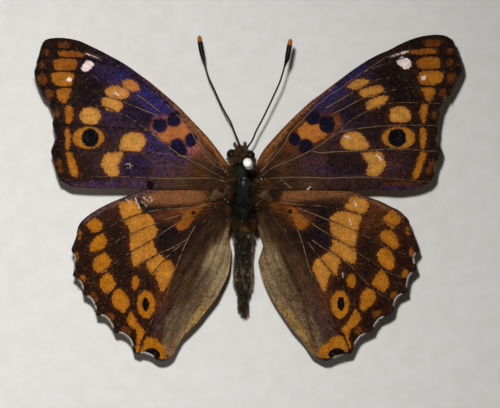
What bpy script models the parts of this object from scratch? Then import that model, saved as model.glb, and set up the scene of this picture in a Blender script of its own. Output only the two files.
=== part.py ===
"""Pinned butterfly, wings set flat, standing on its cut pin, its legs and the tip of its abdomen."""

import math

import bmesh
import bpy
import numpy as np
from mathutils import Vector
from mathutils.geometry import delaunay_2d_cdt

for old in list(bpy.data.objects):
    bpy.data.objects.remove(old)

# Driving dimensions in millimetres
UNIT = 0.146  # one drawing unit
PIN_X, PIN_Y = 256.0, 182.0  # the pin's foot, in drawing units
BODY_X = 244.0  # the body's middle line, in drawing units
WING_THICKNESS = 0.25
FORE_LEVEL = 7.85  # forewing above the board, at the root
HIND_LEVEL = 7.25
HIND_DROOP = 0.0024  # fall per square millimetre behind the forewing
GRID = 2.3  # spacing of the inner points of a wing
PIN_RADIUS = 0.25
PIN_LEAN_X, PIN_LEAN_Y = -0.0516, 0.1106  # lean for each millimetre of height
PIN_TOP = 18.45
BEAD_LENGTH = 2.5
GAP = 0.04

# Thorax: along the drawing, half width, middle height, half height
THORAX = [
    (162.8, 1.00, 6.45, 1.00),
    (164.4, 1.65, 6.50, 1.75),
    (168.0, 2.15, 6.50, 2.35),
    (177.0, 2.45, 6.40, 2.78),
    (189.0, 2.52, 6.30, 2.90),
    (201.0, 2.42, 6.20, 2.75),
    (212.0, 2.22, 6.10, 2.45),
    (221.5, 1.90, 6.00, 2.05),
    (228.5, 1.45, 5.90, 1.60),
]

# Abdomen: along the drawing, middle, half width, middle height, half height
ABDOMEN = [
    (229.2, 243.5, 1.40, 5.88, 1.50),
    (235.0, 243.5, 1.70, 5.75, 1.80),
    (243.0, 243.5, 1.52, 5.45, 1.72),
    (250.0, 243.5, 1.38, 5.10, 1.66),
    (260.0, 243.0, 1.44, 4.55, 1.66),
    (270.0, 243.0, 1.52, 3.95, 1.64),
    (280.0, 243.0, 1.54, 3.28, 1.58),
    (290.0, 243.5, 1.30, 2.50, 1.38),
    (297.0, 243.7, 0.98, 1.93, 1.08),
    (303.0, 242.6, 0.82, 1.38, 0.92),
    (310.0, 243.5, 0.90, 0.88, 0.88),
    (317.0, 244.2, 0.62, 0.74, 0.66),
    (320.0, 244.0, 0.40, 0.70, 0.42),
]
ABDOMEN_CREASES = [238.0, 250.0, 262.0, 274.0, 285.0, 295.0, 303.5]

# Wing outlines in drawing units, from the root along the leading edge and back along the body
FORE_LEFT = [
    (236, 166), (226, 160.5), (220, 152), (210, 139), (200, 128), (190, 117.5), (180, 107), (170, 98),
    (160, 89.6), (150, 81.4), (140, 74.3), (130, 67), (120, 60.8), (110, 55.5), (100, 50.3), (90, 45.5),
    (80, 41), (70, 38.7), (60, 37.7), (50, 38.5), (45, 40.5), (43, 43), (41, 48), (39, 56), (37, 63),
    (34.7, 72), (35.5, 77.5), (39, 87), (44, 97), (48, 101), (50.5, 107), (53, 113), (54, 118),
    (52.8, 124), (54.5, 132), (55.5, 138), (53.5, 145), (51.3, 152), (53.5, 160), (57, 173), (60, 180),
    (64, 183), (70, 186.5), (78, 187.8), (95, 188.8), (125, 189), (150, 190), (180, 190), (205, 190),
    (222, 190), (236, 188),
]
FORE_RIGHT = [
    (252, 164), (258, 158.5), (263, 150), (270, 141.6), (280, 130.4), (290, 120), (300, 110.4),
    (310, 101.3), (320, 94), (330, 86.3), (340, 78.8), (350, 71.4), (360, 64.6), (370, 58.5),
    (380, 53.5), (390, 49.3), (400, 44), (410, 39.7), (420, 36.6), (430, 35), (437, 34.7), (443, 35.3),
    (448, 37), (452.3, 40), (454.2, 43.5), (456, 49), (458, 55), (460, 60), (461, 66), (461.5, 70),
    (459.5, 76), (455, 85), (449, 96), (446, 98), (443.5, 103), (440.5, 110), (438.8, 118),
    (437.5, 125), (437.4, 133), (436.7, 139), (439.5, 147), (440.5, 151.5), (438.4, 159.3),
    (436, 164), (434.5, 170), (434, 175.5), (431.7, 180), (427.5, 184), (421, 186.8), (412, 189.3),
    (395, 190.8), (375, 189.8), (350, 191), (320, 190.5), (290, 190), (266, 190), (252, 188),
]
HIND_LEFT = [
    (236, 196), (224, 189), (212, 186), (203, 184.5), (190, 184), (165, 184.5), (150, 187), (140, 190.5),
    (130, 194), (120, 198), (110, 202.3), (100, 207.3), (90, 213.5), (82, 220), (78, 225.5), (76.5, 231),
    (76, 237), (73.5, 243), (71, 250), (74.2, 257), (74, 262), (73.5, 270), (72.3, 275.4), (76, 279),
    (80.8, 284), (82, 290), (82.5, 294.6), (85, 296), (90, 299), (93.5, 304.6), (95, 310), (95.8, 315.4),
    (99, 316.5), (104, 317), (109, 322.3), (112, 327.7), (113.5, 332.3), (116, 334), (120.8, 334),
    (126, 337), (130, 342), (132, 349), (133, 353), (138.5, 355.5), (142, 354), (147, 355),
    (152, 357.7), (156, 361), (160.8, 362), (165, 361.7), (169, 360), (173, 356), (176, 350), (179, 344),
    (183, 337.7), (190, 331), (195.4, 325.4), (199.6, 320.8), (208, 310), (217, 298.5), (220.8, 291.5),
    (227, 279), (229.6, 271.5), (230.8, 263), (231.5, 255), (231.2, 246), (229, 238), (229.5, 231),
    (233, 222),
]
HIND_RIGHT = [
    (252, 196), (264, 189), (275, 186), (284, 184.5), (297, 184), (322, 184.5), (340, 187.5), (350, 190),
    (359.5, 192.5), (370, 197), (380, 200.5), (390, 205.5), (399.7, 210.3), (406, 216), (409.6, 220.5),
    (410.6, 228), (412.4, 234), (415.2, 240), (419, 250), (414.5, 256), (415, 262), (417, 269),
    (410, 276), (408, 283), (407.5, 288), (408, 292), (405, 294), (399, 296.7), (395.5, 302),
    (394.5, 307.5), (393.5, 312), (387.5, 316.7), (381, 319), (377.5, 323), (375, 327), (374, 331),
    (368.3, 334), (361.7, 337), (357.5, 341.7), (355, 347.5), (352, 354), (345, 356), (340.8, 357),
    (335, 359), (329, 362), (322.5, 362), (316.7, 359), (311.7, 355.8), (308, 350.8), (303, 343.3),
    (300, 339.6), (295, 334), (290, 328), (280, 313.5), (270.8, 299), (265.6, 288.8), (261.2, 278.4),
    (258.8, 269.5), (257.6, 263), (259, 257), (261.6, 248.7), (262.5, 243), (260, 238), (258, 231),
    (254, 222),
]


def at(x, y):
    """Drawing units to millimetres from the pin's foot."""
    return (x - PIN_X) * UNIT, (PIN_Y - y) * UNIT


BODY = at(BODY_X, 0)[0]


def material(name, color, roughness):
    made = bpy.data.materials.new(name)
    made.use_nodes = True
    shader = made.node_tree.nodes["Principled BSDF"]
    shader.inputs["Base Color"].default_value = (*color, 1)
    shader.inputs["Roughness"].default_value = roughness
    return made


def add(name, verts, faces, look, smooth=True):
    """A named piece from points in millimetres."""
    mesh = bpy.data.meshes.new(name)
    mesh.from_pydata([Vector(v) * 0.001 for v in verts], [], faces)
    form = bmesh.new()
    form.from_mesh(mesh)
    bmesh.ops.recalc_face_normals(form, faces=form.faces)
    form.to_mesh(mesh)
    form.free()
    mesh.polygons.foreach_set("use_smooth", [smooth] * len(mesh.polygons))
    piece = bpy.data.objects.new(name, mesh)
    piece.data.materials.append(look)
    bpy.context.scene.collection.objects.link(piece)
    return piece


def skin(rings):
    """Points and faces of a closed body through rings of equal count."""
    count = len(rings[0])
    verts = [p for ring in rings for p in ring]
    faces = [tuple(range(count)), tuple(range(len(verts) - count, len(verts)))]
    for k in range(len(rings) - 1):
        for i in range(count):
            j = (i + 1) % count
            a = k * count
            faces.append((a + i, a + j, a + count + j, a + count + i))
    return verts, faces


def spindle(rows, sides):
    """Rings across Y from rows of x, y, half width, height, half height."""
    rings = []
    for x, y, wide, z, high in rows:
        turn = [2 * math.pi * i / sides - math.pi / 2 for i in range(sides)]
        rings.append([(x + wide * math.cos(t), y, z + high * math.sin(t)) for t in turn])
    return rings


def curve(points, steps):
    """A smooth line through the points, with this many steps between two of them."""
    pts = [Vector(p) for p in points]
    pts = [2 * pts[0] - pts[1], *pts, 2 * pts[-1] - pts[-2]]
    out = []
    for a, b, c, d in zip(pts, pts[1:], pts[2:], pts[3:]):
        for k in range(steps):
            t = k / steps
            out.append(
                0.5 * (2 * b + (c - a) * t + (2 * a - 5 * b + 4 * c - d) * t * t + (3 * b - a - 3 * c + d) * t**3)
            )
    return [*out, pts[-2]]


def tube(path, radii, sides):
    """Rings square to a path, one radius for each point or a pair to flatten it."""
    rings = []
    up = None
    for i, p in enumerate(path):
        ahead = (path[min(i + 1, len(path) - 1)] - path[max(i - 1, 0)]).normalized()
        if up is None:
            up = ahead.orthogonal().normalized()
        up = (up - ahead * up.dot(ahead)).normalized()
        side = ahead.cross(up)
        r = radii[i]
        rings.append(
            [
                p + (up * math.cos(t) + side * math.sin(t)) * r
                for t in [2 * math.pi * k / sides for k in range(sides)]
            ]
        )
    return rings


def eased(rows, count):
    """The table's rows read at this many even places, smoothly."""
    rows = np.array(rows, float)
    line = curve([Vector(r) for r in rows], 8) if len(rows[0]) <= 4 else None
    if line is None:
        first = curve([Vector(r[:3]) for r in rows], 8)
        rest = curve([Vector(r[2:]) for r in rows], 8)
        line = [(*a[:2], *b) for a, b in zip(first, rest)]
    picks = np.linspace(0, len(line) - 1, count).round().astype(int)
    return [tuple(line[k]) for k in picks]


# Pin
steel = material("pin_steel", (0.02, 0.02, 0.022), 0.3)
white = material("bead_white", (0.86, 0.86, 0.82), 0.3)


def pin_at(z):
    return PIN_LEAN_X * z, PIN_LEAN_Y * z


def pin_rings(radius, low, high, sides=16):
    rings = []
    for z in (low, high):
        x, y = pin_at(z)
        turn = [2 * math.pi * i / sides for i in range(sides)]
        rings.append([(x + radius * math.cos(t), y + radius * math.sin(t), z) for t in turn])
    return rings


add("pin_shaft", *skin(pin_rings(PIN_RADIUS, 0.0, PIN_TOP)), steel)

# The bead sits a little crooked on the shaft
bead_way = Vector((-0.13, 0.24, 1)).normalized()
bead_foot = Vector((*pin_at(PIN_TOP), PIN_TOP)) + Vector((-0.02, 0.03, 0.14))
BEAD = [(0.00, 0.30), (0.05, 0.46), (0.16, 0.56), (0.40, 0.61), (0.90, 0.63), (1.40, 0.655), (1.80, 0.66)]
BEAD += [(2.10, 0.61), (2.30, 0.50), (2.43, 0.33), (BEAD_LENGTH, 0.12)]
bead_path = [bead_foot + bead_way * s for s, _ in BEAD]
add("pin_head", *skin(tube(bead_path, [r for _, r in BEAD], 20)), white)

# Thorax with the hole for the pin
hair_brown = material("thorax_brown", (0.05, 0.032, 0.02), 0.8)
thorax_rows = [(BODY, at(0, y)[1], w, z, h) for y, w, z, h in THORAX]
thorax_rows = eased(thorax_rows, 17)
thorax = add("thorax", *skin(spindle(thorax_rows, 24)), hair_brown)
drill = add("drill", *skin(pin_rings(PIN_RADIUS + GAP, 1.0, 12.0)), hair_brown)
drill.hide_render = True
drill.display_type = "WIRE"
hole = thorax.modifiers.new("hole", "BOOLEAN")
hole.object = drill
hole.solver = "EXACT"

# The same form, a little larger, trims the wings at their roots
keep_out = add("keep_out", *skin(spindle([(x, y, w + GAP, z, h + GAP) for x, y, w, z, h in thorax_rows], 24)), hair_brown)
keep_out.hide_render = True
keep_out.display_type = "WIRE"

# Abdomen with its segment creases
abdomen_brown = material("abdomen_brown", (0.035, 0.025, 0.017), 0.75)
rows = [(at(x, 0)[0], at(0, y)[1], w, z, h) for y, x, w, z, h in ABDOMEN]
rows = eased(rows, 40)
shaped = []
for x, y, w, z, h in rows:
    deep = max(math.exp(-(((y - at(0, c)[1]) / 0.22) ** 2)) for c in ABDOMEN_CREASES)
    shaped.append((x, y, w * (1 - 0.07 * deep), max(z, h + 0.0), h * (1 - 0.07 * deep)))
low = min(z - h for x, y, w, z, h in shaped)
add("abdomen", *skin(spindle([(x, y, w, z - low, h) for x, y, w, z, h in shaped], 16)), abdomen_brown)

# Head, eyes, palps, proboscis
head_brown = material("head_brown", (0.045, 0.03, 0.02), 0.8)
eye_black = material("eye_black", (0.012, 0.009, 0.008), 0.2)
horn_brown = material("horn_brown", (0.06, 0.035, 0.02), 0.5)


def ball(name, centre, size, look, sides=16, rows=9, grow=0.0):
    form = []
    for k in range(rows):
        t = math.pi * (k + 0.5) / rows
        form.append(
            (
                centre[0],
                centre[1] + (size[1] + grow) * math.cos(t),
                (size[0] + grow) * math.sin(t),
                centre[2],
                (size[2] + grow) * math.sin(t),
            )
        )
    return add(name, *skin(spindle(form, sides)), look)


HEAD_AT = (*at(240.9, 154.8), 6.5)
EYES = {
    "eye_left": ((*at(231.6, 154.2), 6.45), (0.74, 0.78, 0.95)),
    "eye_right": ((*at(250.1, 155.2), 6.45), (0.72, 0.76, 0.95)),
}
head = ball("head", HEAD_AT, (1.42, 1.12, 1.25), head_brown, 20, 12)
for name, (centre, size) in EYES.items():
    ball(name, centre, size, eye_black)
    socket = ball(name + "_socket", centre, size, eye_black, grow=0.02)
    socket.hide_render = True
    socket.display_type = "WIRE"
    cut = head.modifiers.new(name, "BOOLEAN")
    cut.object = socket
    cut.solver = "EXACT"

for name, way, thick in (
    ("palp_left", [(236.4, 147.4, 6.25), (235.3, 145.0, 6.55), (234.7, 142.6, 6.85), (234.6, 141.0, 7.0)], 1.0),
    ("palp_right", [(244.6, 146.9, 6.25), (244.9, 144.8, 6.55), (244.8, 142.0, 6.85), (244.4, 139.9, 7.0)], 0.9),
):
    line = curve([(*at(x, y), z) for x, y, z in way], 3)
    spread = [thick * r for r in (0.20, 0.26, 0.31, 0.34, 0.36, 0.36, 0.33, 0.27, 0.19, 0.08)]
    add(name, *skin(tube(line, spread, 10)), head_brown)

coil = []
for k in range(41):
    turn = 4.2 * math.pi * k / 40
    r = 0.74 - 0.27 * turn / (2 * math.pi)
    coil.append(Vector((HEAD_AT[0], 3.72 + r * math.sin(turn), 4.50 + r * math.cos(turn))))
add("proboscis", *skin(tube(coil, [0.10] * 38 + [0.09, 0.08, 0.06], 6)), horn_brown)

# Antennae: a thin shaft and a long club
ANTENNAE = {
    "antenna_left": [
        (239.9, 147.9, 7.05), (238.5, 141.7, 7.3), (234.7, 132.7, 7.5), (230.6, 122, 7.6), (224.8, 112, 7.6),
        (219.0, 100.4, 7.6), (212.7, 86.2, 7.5), (207.8, 75.6, 7.4), (203.2, 58.2, 7.2), (200.6, 46, 7.1),
        (199.2, 35.6, 7.0),
    ],
    "antenna_right": [
        (247.0, 147.6, 7.0), (252.3, 140.4, 7.5), (256.4, 130.8, 8.0), (263.8, 116.9, 8.6), (272.8, 98.2, 9.2),
        (279.7, 82.8, 9.7), (284.2, 68.0, 10.0), (286.6, 60.6, 10.2), (288.0, 53, 10.4), (290.2, 41.2, 10.6),
    ],
}
for name, way in ANTENNAE.items():
    line = curve([(*at(x, y), z) for x, y, z in way], 3)
    run = [0.0]
    for p, q in zip(line, line[1:]):
        run.append(run[-1] + (q - p).length)
    radii = []
    for s in run:
        left = run[-1] - s
        club = min(max((4.4 - left) / 2.0, 0), 1)
        r = 0.115 + 0.20 * club * club * (3 - 2 * club)
        if left < 1.0:
            r *= 0.35 + 0.65 * math.sqrt(max(0.0, 1 - (1 - left) ** 2))
        radii.append(r + 0.05 * math.exp(-s / 0.4))
    add(name, *skin(tube(line, radii, 8)), horn_brown)


# Wings: flat plates on a curved surface
def fore_height(x, y):
    out = abs(x - BODY)
    edge = 0.9 + 0.94 * out - 0.0075 * max(0.0, out - 12) ** 2
    inner = at(0, 190)[1] - 0.1
    t = min(max((y - inner) / (edge - inner), 0.0), 1.0)
    rise = 0.42 * math.sin(math.pi * t**0.9) * min(out / 8, 1)
    return FORE_LEVEL + 0.02 * out - 0.0006 * out * out + rise


def hind_height(x, y):
    out = abs(x - BODY)
    back = max(0.0, at(0, 191)[1] - y)
    fold = math.exp(-(((out - 1.7) / 1.5) ** 2)) * min(max((back - 5.5) / 5.0, 0), 1)
    arch = 0.22 * math.sin(math.pi * min(out / 26, 1)) * min(back / 4, 1)
    return HIND_LEVEL + 0.01 * out - HIND_DROOP * back * back + arch - 0.9 * fold


def wing(name, outline, height, look):
    rim = [Vector(at(x, y)) for x, y in outline]
    xs = [p.x for p in rim]
    ys = [p.y for p in rim]
    inside = []
    row = 0
    y = min(ys) + GRID / 2
    while y < max(ys):
        x = min(xs) + (GRID / 2 if row % 2 else 0)
        while x < max(xs):
            p = Vector((x, y))
            hits = 0
            near = 9.0
            for a, b in zip(rim, rim[1:] + rim[:1]):
                if (a.y > y) != (b.y > y) and x < a.x + (y - a.y) * (b.x - a.x) / (b.y - a.y):
                    hits += 1
                t = min(max((p - a).dot(b - a) / (b - a).length_squared, 0), 1)
                near = min(near, (p - a - (b - a) * t).length)
            if hits % 2 and near > 0.45 * GRID:
                inside.append(p)
            x += GRID
        y += GRID * 0.866
        row += 1
    count = len(rim)
    flat, _, cells, *_ = delaunay_2d_cdt(rim + inside, [], [list(range(count))], 1, 1e-5)
    top = [(p.x, p.y, height(p.x, p.y) + WING_THICKNESS / 2) for p in flat]
    form = bmesh.new()
    points = [form.verts.new(Vector(p) * 0.001) for p in top]
    sheet = [form.faces.new([points[i] for i in cell]) for cell in cells]
    bmesh.ops.recalc_face_normals(form, faces=sheet)
    if sum(f.normal.z for f in form.faces) < 0:
        bmesh.ops.reverse_faces(form, faces=form.faces[:])
    made = bmesh.ops.extrude_face_region(form, geom=form.faces[:])
    moved = [g for g in made["geom"] if isinstance(g, bmesh.types.BMVert)]
    bmesh.ops.translate(form, verts=moved, vec=(0, 0, -WING_THICKNESS * 0.001))
    bmesh.ops.recalc_face_normals(form, faces=form.faces[:])
    mesh = bpy.data.meshes.new(name)
    form.to_mesh(mesh)
    form.free()
    mesh.polygons.foreach_set("use_smooth", [False] * len(mesh.polygons))
    piece = bpy.data.objects.new(name, mesh)
    piece.data.materials.append(look)
    bpy.context.scene.collection.objects.link(piece)
    trim = piece.modifiers.new("root", "BOOLEAN")
    trim.object = keep_out
    trim.solver = "EXACT"
    return piece


fore_brown = material("forewing_brown", (0.03, 0.016, 0.014), 0.6)
hind_brown = material("hindwing_brown", (0.05, 0.028, 0.016), 0.65)
wing("forewing_left", FORE_LEFT, fore_height, fore_brown)
wing("forewing_right", FORE_RIGHT, fore_height, fore_brown)
wing("hindwing_left", HIND_LEFT, hind_height, hind_brown)
wing("hindwing_right", HIND_RIGHT, hind_height, hind_brown)

# Legs: from the thorax to the floor, with the foot lying flat on it
leg_brown = material("leg_brown", (0.09, 0.06, 0.035), 0.6)
FOOT = 0.11
LEGS = {
    "leg_mid": (
        [(1.25, -2.6, 3.62), (2.3, -1.9, 3.2), (4.6, -0.9, 3.55), (5.0, -1.2, 3.1), (5.9, -2.6, 1.2)]
        + [(6.4, -3.4, FOOT + 0.05), (7.1, -4.4, FOOT), (8.0, -5.6, FOOT)],
        (0.40, 0.33, 0.21, 0.19, 0.15, 0.12, 0.11, 0.08),
    ),
    "leg_hind": (
        [(1.15, -5.4, 3.60), (1.9, -6.4, 3.2), (3.9, -8.9, 3.7), (4.2, -9.4, 3.3), (4.9, -11.4, 1.2)]
        + [(5.2, -12.4, FOOT + 0.05), (5.6, -13.5, FOOT), (6.1, -14.9, FOOT)],
        (0.40, 0.33, 0.21, 0.19, 0.15, 0.12, 0.11, 0.08),
    ),
    "leg_fore": (
        [(1.05, 0.6, 3.72), (1.15, 1.3, 3.35), (1.3, 2.4, 3.3), (1.42, 2.9, 3.6), (1.35, 3.7, 4.2)],
        (0.26, 0.22, 0.19, 0.17, 0.10),
    ),
}
for kind, (way, radii) in LEGS.items():
    for side, sign in (("left", -1), ("right", 1)):
        line = curve([(BODY + sign * x, y, z) for x, y, z in way], 3)
        spread = [Vector((r, 0)) for r in radii]
        spread = [v.x for v in curve(spread, 3)]
        rings = tube(line, spread, 8)
        verts, faces = skin(rings)
        verts = [(p[0], p[1], max(p[2], 0.0)) for p in verts]
        add(f"{kind}_{side}", verts, faces, leg_brown)
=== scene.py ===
"""Looks of a pinned butterfly: scaled wings with veins and fringes, furry body, clubbed antennae, white pin head."""

import math

import bmesh
import bpy
import numpy as np
from mathutils import Matrix, Vector


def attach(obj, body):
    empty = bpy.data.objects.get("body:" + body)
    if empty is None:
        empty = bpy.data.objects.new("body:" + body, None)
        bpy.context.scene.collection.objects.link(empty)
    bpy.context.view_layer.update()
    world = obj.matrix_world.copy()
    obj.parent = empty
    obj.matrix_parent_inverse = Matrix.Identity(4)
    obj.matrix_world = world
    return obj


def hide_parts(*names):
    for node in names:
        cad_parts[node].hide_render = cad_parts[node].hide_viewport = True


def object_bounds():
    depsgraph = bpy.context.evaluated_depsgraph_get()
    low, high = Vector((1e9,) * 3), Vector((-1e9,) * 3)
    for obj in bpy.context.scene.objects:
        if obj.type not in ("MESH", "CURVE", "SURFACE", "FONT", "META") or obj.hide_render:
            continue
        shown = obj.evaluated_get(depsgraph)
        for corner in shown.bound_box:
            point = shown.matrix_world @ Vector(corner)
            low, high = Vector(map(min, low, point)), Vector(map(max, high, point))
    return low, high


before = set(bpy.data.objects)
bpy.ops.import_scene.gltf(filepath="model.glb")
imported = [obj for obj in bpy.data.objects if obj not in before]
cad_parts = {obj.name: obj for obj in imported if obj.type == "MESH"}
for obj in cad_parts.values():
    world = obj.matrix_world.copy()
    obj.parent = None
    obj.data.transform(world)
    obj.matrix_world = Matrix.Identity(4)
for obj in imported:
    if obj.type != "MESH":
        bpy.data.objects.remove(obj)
cad_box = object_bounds()

# Pin: a black enamelled steel shaft that leans forward through the thorax, cut flat at its foot.
# Its head is a blob of white plastic, a little crooked, melted on to the shaft's top.
MM = 0.001
UNIT = 0.146 * MM  # one drawing unit at the wings
PIN_X, PIN_Y = 256.0, 182.0  # the pin's foot in drawing units
PIN_LEAN = Vector((-0.0516, 0.1106, 1.0))
PIN_TOP = 18.45 * MM


def at(x, y):
    """Drawing units to metres from the pin's foot; x and y may be arrays."""
    return (x - PIN_X) * UNIT, (PIN_Y - y) * UNIT


def rgb(red, green, blue):
    """A colour as seen on paper, 0 to 255, as the shader wants it."""
    out = []
    for c in (red, green, blue):
        c /= 255
        out.append(c / 12.92 if c <= 0.04045 else ((c + 0.055) / 1.055) ** 2.4)
    return (*out, 1.0)


def feed(node, **sockets):
    """Puts a value or a link on each of these sockets of the node; i3 is the fourth input."""
    for key, value in sockets.items():
        socket = node.inputs[int(key[1:])] if key[1:].isdigit() else node.inputs[key.replace("_", " ")]
        if isinstance(value, bpy.types.NodeSocket):
            node.id_data.links.new(value, socket)
        else:
            socket.default_value = value


def put(tree, kind, settings=None, **sockets):
    """A new node with its settings, and values or links on its sockets."""
    made = tree.nodes.new(kind)
    for key, value in (settings or {}).items():
        setattr(made, key, value)
    feed(made, **sockets)
    return made


def blended(tree, factor, a, b, way="MIX"):
    """Colour a going to colour b by the factor."""
    settings = {"data_type": "RGBA", "blend_type": way, "clamp_factor": True}
    return put(tree, "ShaderNodeMix", settings, i0=factor, i6=a, i7=b).outputs[2]


def eased(tree, value, low, high, to_low=0.0, to_high=1.0):
    """A smooth step of the value from low to high."""
    settings = {"interpolation_type": "SMOOTHSTEP"}
    return put(tree, "ShaderNodeMapRange", settings, i0=value, i1=low, i2=high, i3=to_low, i4=to_high).outputs[0]


def here(tree):
    """The place on the piece, in metres."""
    return put(tree, "ShaderNodeTexCoord").outputs["Object"]


def grain(tree, where, scale, detail=3.0, rough=0.55):
    """Cloudy noise around 0.5."""
    return put(tree, "ShaderNodeTexNoise", None, Vector=where, Scale=scale, Detail=detail, Roughness=rough).outputs[0]


def relief(tree, height, strength, distance, invert=False):
    """Fine bumps of the surface, as its normal."""
    settings = {"invert": invert}
    return put(tree, "ShaderNodeBump", settings, Strength=strength, Distance=distance, Height=height).outputs[0]


def fresh(name):
    """A material with a lone Principled shader: (material, tree, shader)."""
    made = bpy.data.materials.new(name)
    made.use_nodes = True
    return made, made.node_tree, made.node_tree.nodes["Principled BSDF"]


def dress(mesh, look):
    """Puts this material on a mesh in place of its own."""
    mesh.materials.clear()
    mesh.materials.append(look)


def placed(name, data):
    """An object that shows this mesh, lamp, curve or camera."""
    made = bpy.data.objects.new(name, data)
    bpy.context.scene.collection.objects.link(made)
    return made


def meshed(form, name):
    """The bmesh as a mesh, and the bmesh is freed."""
    mesh = bpy.data.meshes.new(name)
    form.to_mesh(mesh)
    form.free()
    return mesh


def riding(mesh, looks, replaces=()):
    """The mesh as a smooth piece of its own name that rides on the body."""
    mesh.polygons.foreach_set("use_smooth", [True] * len(mesh.polygons))
    piece = placed(mesh.name, mesh)
    for look in looks:
        mesh.materials.append(look)
    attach(piece, "root")
    if replaces:
        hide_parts(*replaces)
    return piece


def finished(form, name, look, replaces=()):
    """The same for a bmesh, with one material or a list of them."""
    return riding(meshed(form, name), look if isinstance(look, list) else [look], replaces)


enamel, tree, shader = fresh("pin_enamel")
spot = here(tree)
scuff = grain(tree, spot, 2600.0, 4.0)
color = blended(tree, eased(tree, scuff, 0.62, 0.72), rgb(26, 25, 27), rgb(70, 68, 66))
feed(shader, Base_Color=color, Roughness=eased(tree, scuff, 0.3, 0.7, 0.22, 0.42), Metallic=0.4)
dress(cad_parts["pin_shaft"].data, enamel)

bead_look, tree, shader = fresh("bead_plastic")
spot = here(tree)
smear = grain(tree, spot, 900.0, 3.0)
tint = blended(tree, eased(tree, smear, 0.42, 0.68), rgb(250, 250, 243), rgb(222, 222, 210))
feed(
    shader, Base_Color=tint, Roughness=eased(tree, smear, 0.3, 0.7, 0.2, 0.38),
    Normal=relief(tree, smear, 0.25, 0.04 * MM), Subsurface_Weight=0.15,
    Subsurface_Radius=(0.6 * MM, 0.6 * MM, 0.5 * MM), Coat_Weight=0.4, Coat_Roughness=0.12,
)

BEAD_WAY = Vector((-0.13, 0.24, 1.0)).normalized()
BEAD_FOOT = PIN_LEAN * PIN_TOP + Vector((-0.02, 0.03, 0.14)) * MM
# Along the bead's own line from its foot, and out from it, in millimetres.
BEAD_SHAPE = [
    (0.0, 0.0), (0.0, 0.28), (0.05, 0.45), (0.16, 0.56), (0.40, 0.61), (0.90, 0.63), (1.40, 0.655), (1.80, 0.655),
    (2.10, 0.60), (2.30, 0.49), (2.43, 0.30), (2.49, 0.12), (2.50, 0.0),
]
bead = bmesh.new()
side = BEAD_WAY.orthogonal().normalized()
line = [bead.verts.new(BEAD_FOOT + BEAD_WAY * s * MM + side * r * MM) for s, r in BEAD_SHAPE]
for a, b in zip(line, line[1:]):
    bead.edges.new((a, b))
bmesh.ops.spin(
    bead, geom=bead.verts[:] + bead.edges[:], cent=BEAD_FOOT, axis=BEAD_WAY, angle=2 * math.pi, steps=40,
    use_merge=True,
)
bmesh.ops.remove_doubles(bead, verts=bead.verts[:], dist=0.000004)
bmesh.ops.subdivide_edges(bead, edges=bead.edges[:], cuts=1, use_grid_fill=True, smooth=0.6)
for v in bead.verts:
    v.co += (v.co - BEAD_FOOT - BEAD_WAY * (v.co - BEAD_FOOT).dot(BEAD_WAY)) * (
        0.03 * math.sin(v.co.z * 4100 + 1.0) * math.sin(math.atan2(v.co.y, v.co.x) * 2)
    )
bmesh.ops.recalc_face_normals(bead, faces=bead.faces[:])
finished(bead, "pin_bead", bead_look, ["pin_head"])

# Wings: four stiff membranes of dry horn a tenth of a millimetre thick, covered with dust-like scales.
# They are set flat, the forewing lying over the front edge of the hindwing, and grow out of the thorax's sides.
BODY = at(244.0, 0)[0]
MEMBRANE = 0.09 * MM


def fore_height(x, y):
    """Middle of the forewing above the floor; x and y may be arrays, in metres."""
    x, y = np.asarray(x) / MM, np.asarray(y) / MM
    out = abs(x - BODY / MM)
    edge = 0.9 + 0.94 * out - 0.0075 * np.maximum(0.0, out - 12) ** 2
    inner = at(0, 190)[1] / MM - 0.1
    t = np.clip((y - inner) / (edge - inner), 0.0, 1.0)
    rise = 0.42 * np.sin(np.pi * t**0.9) * np.minimum(out / 8, 1)
    return (7.85 + 0.02 * out - 0.0006 * out * out + rise) * MM


def hind_height(x, y):
    """Middle of the hindwing above the floor."""
    x, y = np.asarray(x) / MM, np.asarray(y) / MM
    out = abs(x - BODY / MM)
    back = np.maximum(0.0, at(0, 191)[1] / MM - y)
    fold = np.exp(-(((out - 1.7) / 1.5) ** 2)) * np.clip((back - 5.5) / 5.0, 0, 1)
    arch = 0.22 * np.sin(np.pi * np.minimum(out / 26, 1)) * np.minimum(back / 4, 1)
    return (7.25 + 0.01 * out - 0.0024 * back * back + arch - 0.9 * fold) * MM


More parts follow.
